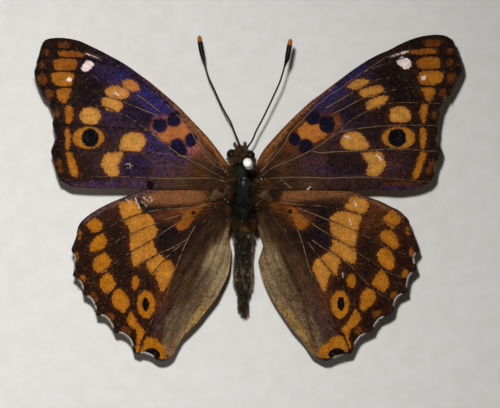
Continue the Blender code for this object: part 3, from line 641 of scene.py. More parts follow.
WINGS["hindwing_right"] = {
    "height": hind_height,
    "lead": [
        (255, 196), (264, 189), (275, 186), (284, 184.5), (297, 184), (322, 184.5), (340, 187.5), (350, 190),
        (359.5, 192.5), (370, 197), (380, 200.5), (390, 205.5), (399.7, 210.3), (406, 216), (409.6, 220.5),
        (410.6, 228),
    ],
    "margin": [
        (410.6, 228), (412.4, 234), (415.2, 240), (419, 250), (414.5, 256), (415, 262), (417, 269), (410, 276),
        (408, 283), (407.5, 288), (408, 292), (405, 294), (399, 296.7), (395.5, 302), (394.5, 307.5), (393.5, 312),
        (387.5, 316.7), (381, 319), (377.5, 323), (375, 327), (374, 331), (368.3, 334), (361.7, 337), (357.5, 341.7),
        (355, 347.5), (352, 354), (345, 356), (340.8, 357), (335, 359), (329, 362), (322.5, 362),
    ],
    "inner": [
        (322.5, 362), (316.7, 359), (311.7, 355.8), (308, 350.8), (303, 343.3), (300, 339.6), (295, 334), (290, 328),
        (280, 313.5), (270.8, 299), (265.6, 288.8), (261.2, 278.4), (258.8, 269.5), (257.6, 263), (259, 257),
        (261.6, 248.7), (262.5, 243), (260, 238), (258, 231), (255, 222),
    ],
    "spots": [
        (0.9, [
            (350, 196), (358, 197), (366, 200), (369, 205), (366, 212), (362, 214), (355, 212), (347, 209),
            (344, 205), (349, 202),
        ]),
        (0.9, [
            (331, 217), (337, 212), (344, 211), (352, 213), (360, 214), (362, 218), (359, 224), (358, 230),
            (350, 230), (340, 224), (330, 220),
        ]),
        (0.9, [
            (330, 222), (345, 226), (357, 231), (356.5, 238), (356, 243), (354, 247), (345, 243), (335, 237),
            (331, 233),
        ]),
        (0.9, [
            (332, 239), (345, 244), (355, 249), (356, 258), (354, 264), (345, 260), (336, 254), (330, 250),
            (332, 245),
        ]),
        (0.9, [
            (321, 258), (327, 252.5), (334, 254), (340, 259), (340, 262), (338, 268), (336, 276), (331, 272),
            (326, 264),
        ]),
        (0.9, [
            (314, 262), (318, 258), (321, 260), (326, 266), (331, 273), (328, 279), (327, 286), (324, 292),
            (319, 282), (313, 270),
        ]),
        (0.7, [
            (391, 211), (397, 214), (401, 218.5), (398, 224), (394, 228.5), (391, 228), (386, 223), (383, 218),
            (387, 214),
        ]),
        (0.7, [
            (384, 230), (390, 230), (395, 235), (398, 241), (398, 247), (394, 249), (388, 246), (382, 241),
            (380, 235),
        ]),
        (0.7, [
            (380, 249), (385, 248), (391, 252), (394, 258), (394, 266), (391, 270), (386, 269), (380, 263),
            (377, 255),
        ]),
        (0.7, [(380, 270), (385, 273), (389, 280), (388, 287), (383, 292), (378, 289), (372, 284), (375, 277)]),
        (0.7, [
            (368, 288), (373, 290), (376, 297), (373, 303), (369, 307), (363, 311), (360, 308), (361, 300),
            (362, 293),
        ]),
        (0.7, [
            (356, 309), (360, 315), (361, 318), (357, 325), (351, 331), (349, 337), (351, 345), (350, 350),
            (346, 336), (342, 330), (346, 325), (350, 319),
        ]),
        (0.7, [
            (320, 358), (320, 350), (327, 343), (334, 337.5), (341, 336), (346, 342), (349, 352), (340, 355),
            (328, 359),
        ]),
        (0.7, (340, 304.5, 18, 27, 0)), (0.55, (351.5, 281, 9, 14.5, 0)), (0.4, (408, 231, 4.5, 8, -15)),
        (0.35, (411, 252, 4, 9, 0)), (0.45, (405, 274, 6, 9, 20)), (0.2, (394, 295.5, 6, 7, 30)),
        (0.15, (377, 314, 9, 6, -30)), (0.1, (359, 331, 8, 6, -30)),
        (0.12, [(270, 204), (280, 203), (288, 205), (286, 213), (275, 212)]),
        (0.35, [
            (286, 205), (290, 206), (296, 209), (300, 215), (305, 220), (309, 223), (306, 228), (302, 230),
            (296, 226), (293, 219), (289, 214), (285, 212),
        ]),
    ],
    "dark": [(341, 304, 8, 14, 0), (290, 211.5, 4.6, 4.6, 0), (337.5, 354.5, 18, 12, 0)],
    "pale": [
        ((354, 200), (356, 206), 1.0), ((349, 219), (351, 225), 0.8), ((354, 235), (354, 240), 0.8),
        ((343, 273), (343, 277), 0.8),
    ],
    "wash": [
        ("rust", 0.2, 10, (376, 262, 90, 160, 25)), ("rust", 0.4, 8, (374, 220, 70, 34, 25)),
        ("black", 0.6, 6, [
            (366, 232), (358, 250), (356, 266), (342, 276), (332, 292), (338, 330), (352, 340), (376, 324),
            (392, 302), (406, 284), (414, 262), (412, 236), (398, 218),
        ]),
        ("black", 0.85, 7, [(306, 206), (340, 208), (332, 220), (330, 246), (312, 250), (300, 236), (314, 226)]),
        ("rust", 0.7, 7, (288, 214, 50, 22, 15)),
        ("umber", 0.8, 8, [(290, 232), (310, 244), (314, 262), (330, 300), (326, 310), (306, 280), (294, 250)]),
        ("copper", 0.7, 4, [
            (280, 198), (286, 190), (310, 188), (344, 190), (350, 196), (344, 203), (310, 201), (284, 201),
        ]),
        ("umber", 0.8, 3, [(298, 203), (322, 199), (344, 196), (345, 205), (330, 208), (298, 206)]),
        ("copper", 0.6, 2.5, [
            (404, 216), (386, 205), (364, 196), (342, 188), (328, 186), (342, 192), (366, 201), (388, 211),
            (402, 220),
        ]),
        ("brown", 0.95, 6, [
            (262, 206), (274, 216), (292, 246), (308, 268), (318, 296), (330, 330), (336, 340), (318, 354),
            (292, 322), (268, 288), (258, 262), (258, 236),
        ]),
        ("brown", 0.5, 8, (318, 314, 26, 50, -20)),
        ("plum", 0.6, 6, [(312, 272), (318, 292), (330, 316), (336, 336), (322, 344), (314, 326), (310, 300)]),
        ("tan", 0.6, 4, [
            (270, 244), (266, 231), (261, 226), (259, 232), (257, 250), (256, 264), (260, 282), (276, 308),
            (292, 330), (306, 350), (318, 360), (322, 350), (318, 330), (308, 312), (297, 294), (282, 262),
            (273, 244),
        ]),
        ("fan", 0.6, 6, [
            (302, 300), (292, 286), (280, 268), (276, 276), (286, 306), (298, 328), (308, 344), (318, 350),
            (314, 322),
        ]),
        # The two thin fan strokes here lie along the folds: painted shade in the creases.
        ("brown", 0.6, 6, (263, 236, 18, 40, 0)), ("fan", 0.45, 2, ((274, 262), (298, 300), 4.0)),
        ("fan", 0.4, 2, ((266, 262), (288, 300), 3.0)), ("rust", 0.5, 4, (324, 296, 14, 30, -15)),
        ("ochre", 0.6, 4, [(274, 302), (290, 324), (304, 342), (312, 352), (308, 336), (290, 310)]),
        ("black", 0.8, 7, ((261, 206), (288, 250), 6.0)), ("umber", 0.7, 4, (268, 194, 26, 14, 0)),
        ("umber", 0.8, 2.5, ((281, 250), (299, 290), 3.5)), ("umber", 0.7, 2, ((299, 290), (314, 340), 2.6)),
        ("rust", 0.5, 4, (316, 351, 10, 22, -20)),
    ],
    "rosy": [], "blue": [(316, 238, 30, 26, 0, 0.06), (360, 190, 60, 10, 15, 0.15)], "costa": 0.0,
    "folds": [
        [(262, 224), (274, 258), (292, 290), (308, 322), (320, 352)],
        [(260, 232), (266, 262), (282, 294), (300, 322), (316, 354)],
        [(259, 236), (261, 268), (276, 298), (294, 324), (310, 350)],
    ],
    "veins": [
        (0.7, 0.4, [
            (280, 202), (292, 204), (305, 205), (320, 206), (333, 208), (345, 211), (357, 214), (378, 219),
            (410, 232),
        ]),
        (0.8, 0.5, [
            (298, 208), (308, 212), (320, 216.5), (330, 221), (345, 226.5), (355, 231), (365, 236), (377, 242),
            (390, 249), (414, 257),
        ]),
        (0.8, 0.5, [
            (300, 214), (310, 222), (320, 229), (332, 236), (343, 243), (355, 251), (367, 259), (378, 266),
            (385, 271), (408, 280),
        ]),
        (0.8, 0.5, [(312, 240), (328, 251), (340, 258), (350, 265), (360, 276), (370, 286), (378, 293), (395, 303)]),
        (0.7, 0.3, [(308, 242), (320, 258), (330, 270), (337, 277), (354, 303), (361, 313), (376, 326)]),
        (0.8, 0.4, [(297, 228), (303, 245), (310, 270), (318, 282), (325, 296), (335, 320), (342, 332), (350, 352)]),
        (0.4, 0.3, [(270, 210), (277, 219), (285, 230), (293, 238), (303, 244), (312, 248)]),
    ],
}


def drawn(co):
    """Points in metres back to drawing units, seen from above."""
    return np.stack([co[:, 0] / UNIT + PIN_X, PIN_Y - co[:, 1] / UNIT], axis=1)


def points_of(mesh):
    """The mesh's points as an array, in metres."""
    co = np.empty(len(mesh.vertices) * 3)
    mesh.vertices.foreach_get("co", co)
    return co.reshape(-1, 3)


def stained(tree, factor, color, stain):
    """The colour, multiplied by the stain as far as the factor says."""
    return blended(tree, factor, color, blended(tree, 1.0, color, stain, "MULTIPLY"))


def worked(tree, way, a, b=0.0, clamp=False):
    return put(tree, "ShaderNodeMath", {"operation": way, "use_clamp": clamp}, i0=a, i1=b).outputs[0]


def plus(tree, a, b):
    return worked(tree, "ADD", a, b)


def minus(tree, a, b, clamp=False):
    return worked(tree, "SUBTRACT", a, b, clamp)


def times(tree, a, b):
    return worked(tree, "MULTIPLY", a, b)


def carried(tree, name):
    """A value or a vector that the mesh carries at each point."""
    return put(tree, "ShaderNodeAttribute", {"attribute_name": name})


def smooth_line(points, steps=6):
    """A smooth line through the points, as an array."""
    p = np.array(points, float)
    p = np.vstack([2 * p[0] - p[1], p, 2 * p[-1] - p[-2]])
    t = np.arange(steps)[:, None] / steps
    parts = [
        0.5 * (2 * b + (c - a) * t + (2 * a - 5 * b + 4 * c - d) * t**2 + (3 * b - a - 3 * c + d) * t**3)
        for a, b, c, d in zip(p, p[1:], p[2:], p[3:])
    ]
    return np.vstack([*parts, p[-2][None]])


def run_along(line):
    """How far along the line each of its points lies."""
    return np.concatenate([[0], np.cumsum(np.linalg.norm(np.diff(line, axis=0), axis=1))])


def unit(rows):
    """Each row made one long."""
    return rows / np.linalg.norm(rows, axis=1)[:, None]


def evenly(line, count):
    """The line's points at this many even steps along it."""
    run = run_along(line)
    want = np.linspace(0, run[-1], count)
    return np.stack([np.interp(want, run, line[:, k]) for k in range(line.shape[1])], axis=1)


def away(points, line, closed=False):
    """Distance of each point from the line, in the units of both."""
    ends = np.vstack([line, line[:1]]) if closed else np.asarray(line)
    near = np.full(len(points), 1e9)
    for a, b in zip(ends, ends[1:]):
        d = b - a
        t = np.clip(((points - a) @ d) / max(d @ d, 1e-12), 0, 1)
        near = np.minimum(near, np.hypot(*(points - a - t[:, None] * d).T))
    return near


def inside(points, ring):
    """Which of the points lie inside the ring."""
    ring = np.asarray(ring, float)
    hits = np.zeros(len(points), bool)
    x, y = points.T
    for (ax, ay), (bx, by) in zip(ring, np.vstack([ring[1:], ring[:1]])):
        cross = (ay > y) != (by > y)
        with np.errstate(divide="ignore", invalid="ignore"):
            hits ^= cross & (x < ax + (y - ay) * (bx - ax) / (by - ay))
    return hits


def in_oval(points, x, y, wide, high, turn):
    """The points in an oval's own frame, where its rim is 1 away, and the cosine and sine of its turn."""
    c, s = math.cos(math.radians(turn)), math.sin(math.radians(turn))
    dx, dy = points[:, 0] - x, points[:, 1] - y
    return (dx * c + dy * s) / (wide / 2), (-dx * s + dy * c) / (high / 2), c, s


def depth_in(points, shape):
    """How deep each point lies in a spot, below zero outside it.

    A spot is a ring of points, a stroke of (start, end, width) or an oval of (x, y, wide, high, turn).
    """
    if isinstance(shape, list):
        ring = evenly(smooth_line([*shape, shape[0]], 3), len(shape) * 3)[:-1]
        d = away(points, ring, True)
        return np.where(inside(points, ring), d, -d)
    if isinstance(shape[0], tuple):
        return shape[2] / 2 - away(points, np.array(shape[:2], float))
    wide, high = shape[2:4]
    u, v, c, s = in_oval(points, *shape)
    k = np.hypot(u, v)
    slope = np.hypot(u * c / (wide / 2) - v * s / (high / 2), u * s / (wide / 2) + v * c / (high / 2))
    return np.where(k > 1e-6, (1 - k) * k / np.maximum(slope, 1e-9), min(wide, high) / 2)


def cloud(points, rows):
    """Soft patches, the strongest at each point."""
    total = np.zeros(len(points))
    for *oval, much in rows:
        u, v, _, _ = in_oval(points, *oval)
        total = np.maximum(total, much * np.exp(-((u * u + v * v) ** 1.3) * 0.9))
    return total


def carry(mesh, **values):
    """Writes values for each point on the mesh, for its material to read."""
    for name, data in values.items():
        data = np.asarray(data, np.float32)
        kind = "FLOAT_VECTOR" if data.ndim == 2 else "FLOAT"
        made = mesh.attributes.new(name, kind, "POINT")
        made.data.foreach_set("vector" if data.ndim == 2 else "value", data.reshape(-1))


# The ground colours are washes laid over each other from the first to the last, soft at their edges.
# The violet and blue inks paint the scales' violet-blue sheen into the ground, stronger on the left forewing than on
# the right.
INKS = {
    "base": rgb(29, 16, 12), "umber": rgb(34, 19, 14), "plum": rgb(70, 46, 48), "violet": rgb(44, 30, 52),
    "blue": rgb(29, 24, 68), "black": rgb(19, 10, 8), "rust": rgb(100, 52, 22), "brown": rgb(80, 56, 37),
    "rose": rgb(146, 84, 62), "copper": rgb(134, 86, 50), "lilac": rgb(92, 68, 70), "tan": rgb(160, 137, 102),
    "ochre": rgb(160, 124, 62), "fan": rgb(66, 48, 34), "amber": rgb(110, 66, 28),
}


# How streaky the washes of hair-like scales are; the rest have a third of it.
PLAIN_COMBED = 0.3
COMBED = {"brown": 0.95, "rust": 0.95, "copper": 0.9, "fan": 0.9, "amber": 0.95, "tan": 0.95, "ochre": 0.8}


def covered(points, shape, soft):
    """How far a wash covers each point, 0 to 1 across its soft edge."""
    return np.clip(depth_in(points, shape) / (2 * soft) + 0.5, 0, 1)


def washed(points, facts):
    """The ground colour of each point."""
    color = np.tile(INKS["base"][:3], (len(points), 1))
    for ink, much, soft, shape in facts["wash"]:
        t = covered(points, shape, soft)
        color += (much * t * t * (3 - 2 * t))[:, None] * (np.array(INKS[ink][:3]) - color)
    return color


# A marking's edge is dusty, because each scale has one colour: every layer is cut out by the same small group.
dusted = bpy.data.node_groups.new("dusted_edge", "ShaderNodeTree")
for name, value in (("Depth", 0.0), ("Scale", 0.5), ("Ragged", 0.3), ("Soft", 0.05)):
    dusted.interface.new_socket(name, in_out="INPUT", socket_type="NodeSocketFloat").default_value = value
dusted.interface.new_socket("Mask", in_out="OUTPUT", socket_type="NodeSocketFloat")
come, go = dusted.nodes.new("NodeGroupInput"), dusted.nodes.new("NodeGroupOutput")
shaken = times(dusted, minus(dusted, come.outputs["Scale"], 0.5), come.outputs["Ragged"])
depth = plus(dusted, come.outputs["Depth"], shaken)
low = times(dusted, come.outputs["Soft"], -1.0)
mask = put(
    dusted, "ShaderNodeMapRange", {"interpolation_type": "SMOOTHSTEP"}, i0=depth, i1=low, i2=come.outputs["Soft"]
)
dusted.links.new(mask.outputs[0], go.inputs["Mask"])


def cut(tree, depth, scale, ragged, soft):
    """1 inside a marking and 0 outside it, from its depth and each scale's own number."""
    made = put(tree, "ShaderNodeGroup", {"node_tree": dusted}, Depth=depth, Scale=scale, Ragged=ragged, Soft=soft)
    return made.outputs["Mask"]


BLUSH = rgb(164, 94, 54)


def scaled_look(name, spots, costa, dark, pale, vein, rim, sheen_and_flecks, fade=None):
    """A wing's face: its ground comes with the mesh, and every scale has a colour a little of its own."""
    made, tree, shader = fresh(name)
    flow = carried(tree, "flow").outputs["Vector"]
    spot_at = here(tree)
    rows = put(tree, "ShaderNodeMapping", None, Vector=flow, Scale=(5.6, 8.5, 1.0)).outputs[0]
    cells = put(tree, "ShaderNodeTexVoronoi", {"feature": "F1"}, Vector=rows, Scale=1.0)
    one, two, three = put(tree, "ShaderNodeSeparateColor", None, Color=cells.outputs["Color"]).outputs
    dust = grain(tree, spot_at, 4200.0, 2.0, 0.6)
    clump = grain(tree, spot_at, 700.0, 4.0, 0.62)
    streaks = put(tree, "ShaderNodeMapping", None, Vector=flow, Scale=(0.35, 4.2, 1.0)).outputs[0]
    combed = grain(tree, streaks, 1.0, 4.0, 0.7)
    shaky = plus(tree, times(tree, one, 0.7), times(tree, clump, 0.3))

    def value(key):
        return carried(tree, key).outputs["Fac"]

    # The ground, combed into dark and pale streaks, and a painted violet-blue sheen of single scales on it where the
    # blue patches lie.
    color = carried(tree, "ground").outputs["Color"]
    if fade:
        color = blended(tree, 0.62, color, fade)
    streaky = times(tree, eased(tree, combed, 0.40, 0.72), value("combed"))
    color = stained(tree, streaky, color, (0.42, 0.40, 0.38, 1))
    streaky = times(tree, eased(tree, combed, 0.52, 0.30), times(tree, value("combed"), 0.26))
    color = blended(tree, streaky, color, sheen_and_flecks[2])
    lit = plus(tree, times(tree, one, 0.16), plus(tree, combed, times(tree, clump, 0.8)))
    glint = times(tree, eased(tree, lit, 0.82, 1.12), value("blue"))
    color = blended(tree, glint, color, blended(tree, two, sheen_and_flecks[0], sheen_and_flecks[1]))
    color = blended(tree, cut(tree, plus(tree, value("costa"), times(tree, clump, 0.3)), two, 0.5, 0.3), color, costa)

    # The orange and brown spots with a soft glow around the bright ones, the black inside them and the white spots.
    around = eased(tree, plus(tree, value("orange"), times(tree, two, 0.5)), -0.55, 0.4)
    glow = times(tree, around, eased(tree, value("tone"), 0.3, 0.7, 0.1, 0.38))
    color = blended(tree, glow, color, spots[0])
    spot = blended(tree, eased(tree, value("tone"), 0.0, 0.35), spots[0], spots[1])
    spot = blended(tree, eased(tree, value("tone"), 0.35, 0.62), spot, spots[2])
    spot = blended(tree, eased(tree, value("tone"), 0.62, 1.0), spot, spots[3])
    spot = blended(tree, eased(tree, value("orange"), 0.0, 0.7, 0.4, 0.0), spot, spots[1])
    spot = blended(tree, eased(tree, two, 0.94, 0.98, 0.0, 0.45), spot, spots[0])
    spot = blended(tree, times(tree, value("rosy"), eased(tree, clump, 0.3, 0.6, 0.55, 1.0)), spot, BLUSH)
    on_spot = cut(tree, value("orange"), shaky, 0.34, eased(tree, value("tone"), 0.1, 0.3, 0.3, 0.1))
    on_spot = times(tree, on_spot, eased(tree, value("tone"), 0.05, 0.3, 0.6, 1.0))
    color = blended(tree, on_spot, color, spot)
    on_dark = cut(tree, value("dark"), shaky, 0.36, eased(tree, value("rosy"), 0.2, 0.8, 0.06, 0.24))
    color = blended(tree, on_dark, color, blended(tree, times(tree, value("rosy"), 0.45), dark, sheen_and_flecks[0]))
    white = cut(tree, value("pale"), shaky, 0.22, 0.1)
    color = blended(tree, white, color, blended(tree, eased(tree, dust, 0.5, 0.8, 0.0, 0.3), pale, spots[3]))

    # The dark lines over the veins, a faint painted shade along the folds, the dark outer edge and single bright
    # scales.
    near = minus(tree, value("vein"), times(tree, value("seam"), 0.07))
    line = times(tree, eased(tree, near, 0.02, 0.13, 1.0, 0.0), eased(tree, value("seam"), 0.0, 1.0, 0.3, 0.92))
    color = blended(tree, line, color, vein)
    edge = eased(tree, plus(tree, value("edge"), times(tree, one, 0.25)), 0.1, 0.7, 0.8, 0.0)
    color = blended(tree, edge, color, rim)
    color = blended(tree, eased(tree, three, 0.93, 0.98, 0.0, 0.22), color, sheen_and_flecks[2])

    # Every scale a little darker or paler than the next, in clumps and in a fine mottle.
    calm = minus(tree, minus(tree, 1.0, times(tree, on_spot, 0.6)), times(tree, white, 0.7), True)
    color = stained(tree, calm, color, blended(tree, one, (0.66, 0.64, 0.64, 1), (1.34, 1.34, 1.32, 1)))
    clumps = blended(tree, eased(tree, clump, 0.3, 0.7), (0.80, 0.80, 0.82, 1), (1.16, 1.15, 1.12, 1))
    color = blended(tree, 1.0, color, clumps, "MULTIPLY")
    mottle = eased(tree, grain(tree, spot_at, 2300.0, 3.0, 0.75), 0.36, 0.64)
    even = times(tree, calm, eased(tree, value("combed"), 0.3, 0.9, 1.0, 0.35))
    color = stained(tree, even, color, blended(tree, mottle, (0.62, 0.60, 0.60, 1), (1.42, 1.40, 1.36, 1)))
    height = plus(tree, times(tree, cells.outputs["Distance"], -0.5), times(tree, combed, 1.2))
    feed(
        shader, Base_Color=color, Roughness=eased(tree, two, 0.0, 1.0, 0.42, 0.7),
        Normal=relief(tree, height, 0.5, 0.05 * MM), Specular_IOR_Level=0.02,
    )
    return made


fore_top = scaled_look(
    "forewing_scales", (rgb(84, 42, 18), rgb(128, 70, 18), rgb(164, 102, 24), rgb(188, 132, 60)), rgb(130, 80, 40),
    rgb(11, 7, 13), rgb(226, 206, 204), rgb(18, 11, 9), rgb(24, 15, 12),
    (rgb(28, 24, 74), rgb(54, 44, 112), rgb(112, 72, 42)),
)
hind_top = scaled_look(
    "hindwing_scales", (rgb(86, 42, 16), rgb(134, 76, 18), rgb(168, 102, 18), rgb(184, 124, 50)), rgb(98, 54, 22),
    rgb(14, 9, 9), rgb(210, 200, 190), rgb(28, 16, 10), rgb(30, 18, 13),
    (rgb(40, 32, 80), rgb(60, 46, 100), rgb(120, 82, 46)),
)
under = scaled_look(
    "underside_scales", (rgb(128, 92, 58), rgb(150, 106, 62), rgb(170, 122, 70), rgb(186, 140, 84)),
    rgb(140, 110, 76), rgb(44, 32, 26), rgb(216, 206, 190), rgb(88, 66, 46), rgb(80, 60, 44),
    (rgb(120, 104, 110), rgb(140, 124, 124), rgb(184, 166, 136)), fade=rgb(160, 126, 88),
)


EDGE_POINTS = 400  # along each of a wing's three edges
TUCK = 1.4  # drawing units from the rim, where the membrane is drawn in a little to stay inside the solid


def wing_mesh(facts, across, along):
    """The membrane: a grid pulled out between the wing's edges, bent to its surface, and given its thickness."""
    lead, margin, inner = (evenly(smooth_line(facts[key]), EDGE_POINTS) for key in ("lead", "margin", "inner"))
    form = bmesh.new()
    bmesh.ops.create_grid(form, x_segments=across, y_segments=along, size=0.5)
    form.verts.ensure_lookup_table()
    uv = np.array([v.co[:2] for v in form.verts])
    u, v = ((uv - uv.min(0)) / (uv.max(0) - uv.min(0))).T
    marks = np.linspace(0, 1, EDGE_POINTS)

    def read(line, t):
        return np.stack([np.interp(t, marks, line[:, k]) for k in (0, 1)], axis=1)

    low, high = read(inner[::-1], u), read(lead, u)  # both from the root outwards
    tip = read(margin[::-1], v)
    root = inner[-1] + (lead[0] - inner[-1]) * v[:, None]
    U, V = u[:, None], v[:, None]
    corners = (1 - U) * ((1 - V) * inner[-1] + V * lead[0]) + U * ((1 - V) * inner[0] + V * margin[0])
    flat = (1 - V) * low + V * high + (1 - U) * root + U * tip - corners
    whole = np.vstack([lead, margin[1:], inner[1:]])
    rim = away(flat, whole[::4], True)
    middle = flat.mean(0)
    inward = (middle - flat) / np.maximum(np.linalg.norm(middle - flat, axis=1), 1)[:, None]
    flat += inward * np.where(rim < TUCK, 0.5 * (TUCK - rim), 0)[:, None]
    x, y = at(*flat.T)
    near_vein = np.full(len(flat), 1e9)
    for _, _, vein in facts["veins"]:
        near_vein = np.minimum(near_vein, away(flat, smooth_line(vein, 2)))
    near_vein *= UNIT / MM
    z = facts["height"](x, y)
    z = z + 0.035 * MM * np.exp(-((near_vein / 0.35) ** 2)) - 0.02 * MM
    for fold in facts.get("folds", ()):
        z -= 0.13 * MM * np.exp(-((away(flat, smooth_line(fold, 3)) / 2.4) ** 2))
    z += 0.02 * MM * np.sin(flat[:, 0] * 0.31 + flat[:, 1] * 0.17) * np.sin(flat[:, 1] * 0.26 - flat[:, 0] * 0.08)
    for vert, *place in zip(form.verts, x, y, z):
        vert.co = place
    made = bmesh.ops.extrude_face_region(form, geom=form.faces[:], use_keep_orig=True)
    lower = [g for g in made["geom"] if isinstance(g, bmesh.types.BMVert)]
    bmesh.ops.translate(form, verts=lower, vec=(0, 0, -MEMBRANE))
    bmesh.ops.recalc_face_normals(form, faces=form.faces[:])
    form.normal_update()
    for face in form.faces:
        face.material_index = 0 if face.normal.z > -0.5 else 1
    return form


def wing_values(mesh, facts):
    """What each point of a wing carries: how deep it lies in each marking, in millimetres."""
    p = drawn(points_of(mesh))
    scale = UNIT / MM
    orange = np.full(len(p), -9.0)
    tone = np.zeros(len(p))
    for bright, shape in facts["spots"]:
        d = depth_in(p, shape) * scale
        tone = np.where(d > orange, bright, tone)
        orange = np.maximum(orange, d)
    dark, pale = (np.max([depth_in(p, shape) * scale for shape in facts[key]], axis=0) for key in ("dark", "pale"))
    near, seam = np.full(len(p), 1e9), np.zeros(len(p))
    for start, end, vein in facts["veins"]:
        line = smooth_line(vein, 2)
        d = away(p, line) * scale
        run = np.hypot(*(p - line[0]).T) / np.hypot(*(line[-1] - line[0]))
        bare = start + (end - start) * np.clip(run, 0, 1) ** 0.6
        seam = np.where(d < near, 1 - np.clip(bare * 1.3, 0, 1), seam)
        near = np.minimum(near, d)
    # The folds carry a faint dark line like a vein's: painted shade in the crease.
    for fold in facts.get("folds", ()):
        d = away(p, smooth_line(fold, 3)) * scale
        seam = np.where(d < near, 0.15, seam)
        near = np.minimum(near, d)
    lead, margin = (smooth_line(facts[key], 3) for key in ("lead", "margin"))
    way = p - (np.array(facts["lead"][0], float) + (0, 12))  # from the wing's root, 12 units behind its front corner
    out, turn = np.hypot(*way.T) * scale, np.arctan2(way[:, 1], abs(way[:, 0]))
    costa = np.full(len(p), -9.0)
    if facts["costa"]:
        band = (facts["costa"] + 3) * np.clip(1.1 - out / 21, 0, 1) ** 0.7 - 3
        costa = (band - away(p, lead)) * scale - 1.1 * np.exp(-((out / 3.2) ** 2))
    spotted = np.clip(orange / 0.4 + 0.5, 0, 1)
    combed = np.full(len(p), PLAIN_COMBED)
    for ink, much, soft, shape in facts["wash"]:
        if ink in COMBED:
            t = covered(p, shape, soft)
            combed += t * (COMBED[ink] * much - combed) * ((combed < COMBED[ink]) | (ink in ("tan", "ochre")))
    carry(
        mesh, orange=orange, tone=tone, vein=near, seam=seam, costa=costa, dark=dark, pale=pale,
        edge=away(p, np.vstack([lead, margin])[::2]) * scale, combed=combed * (1 - 0.8 * spotted),
        blue=cloud(p, facts["blue"]), rosy=cloud(p, facts["rosy"]), ground=washed(p, facts),
        flow=np.stack([out, turn * 14.0, np.zeros(len(p))], axis=1),
    )


def wing_slot(name):
    """forewing_scales or hindwing_scales."""
    return name.split("_")[0] + "_scales"


# Each wing's upper face, and its points across and along.
TOPS = {"forewing_scales": (fore_top, (171, 111)), "hindwing_scales": (hind_top, (131, 141))}
for name, facts in WINGS.items():
    top, grid = TOPS[wing_slot(name)]
    piece = finished(wing_mesh(facts, *grid), name + "_membrane", [top, under], [name])
    wing_values(piece.data, facts)

# Wing veins: hollow ribs of the same horn, thickest at the root, raised on both faces of the membrane.
# Where the scales are rubbed off them near the body they show tan.
rib_look, tree, shader = fresh("rib_horn")
patchy = times(tree, minus(tree, grain(tree, here(tree), 1500.0, 3.0), 0.5), 1.6)
worn = plus(tree, carried(tree, "worn").outputs["Fac"], patchy)
color = blended(tree, eased(tree, worn, 0.3, 0.75), rgb(20, 12, 9), rgb(126, 98, 68))
feed(shader, Base_Color=color, Roughness=eased(tree, worn, 0.2, 0.8, 0.75, 0.5), Specular_IOR_Level=0.1)


def ribs(name, lines, look, sides=2, replaces=()):
    """Tubes along lines of (points in metres, radii, a value at each point), as one piece."""
    data = bpy.data.curves.new(name, "CURVE")
    data.dimensions = "3D"
    data.bevel_depth = 1.0
    data.bevel_resolution = sides
    data.use_fill_caps = True
    for points, radii, _ in lines:
        spline = data.splines.new("POLY")
        spline.points.add(len(points) - 1)
        for target, p, r in zip(spline.points, points, radii):
            target.co = (*p, 1)
            target.radius = r
    holder = placed(name + "_line", data)
    bpy.context.view_layer.update()
    mesh = bpy.data.meshes.new_from_object(holder.evaluated_get(bpy.context.evaluated_depsgraph_get()))
    bpy.data.objects.remove(holder)
    mesh.name = name
    form = bmesh.new()
    form.from_mesh(mesh)
    bmesh.ops.remove_doubles(form, verts=form.verts[:], dist=0.0000005)
    bmesh.ops.recalc_face_normals(form, faces=form.faces[:])
    bpy.data.meshes.remove(mesh)
    piece = finished(form, name, look, replaces)
    co = points_of(piece.data)
    near, value = np.full(len(co), 1e9), np.zeros(len(co))
    for points, _, values in lines:
        for p, shade in zip(points, values):
            d = np.linalg.norm(co - p, axis=1)
            value = np.where(d < near, shade, value)
            near = np.minimum(near, d)
    carry(piece.data, worn=value)


for name, facts in WINGS.items():
    lines = []
    for start, end, vein in facts["veins"]:
        flat = smooth_line(vein, 4)
        x, y = at(*flat.T)
        t = np.linspace(0, 1, len(flat))
        z = facts["height"](x, y) + 0.012 * MM
        lines.append((np.stack([x, y, z], axis=1), (0.074 - 0.03 * t) * MM, start + (end - start) * t**0.6))
    ribs(name + "_veins", lines, rib_look)

# Fringes and fur: fine hair-scales along the wings' margins, and long hair on the wing roots and the body.
# Each hair is a thin tapered blade that grows out of the surface under it.
chance = np.random.default_rng(11)
blade = bmesh.new()
bmesh.ops.create_cone(blade, cap_ends=True, segments=3, radius1=1.0, radius2=0.12, depth=1.0)
bmesh.ops.translate(blade, verts=blade.verts[:], vec=(0, 0, 0.5))
bmesh.ops.bisect_plane(
    blade, geom=blade.verts[:] + blade.edges[:] + blade.faces[:], plane_co=(0, 0, 0.45), plane_no=(0, 0, 1)
)
BLADE_POINTS = np.array([v.co[:] for v in blade.verts])
BLADE_FACES = [[v.index for v in f.verts] for f in blade.faces]
blade.free()


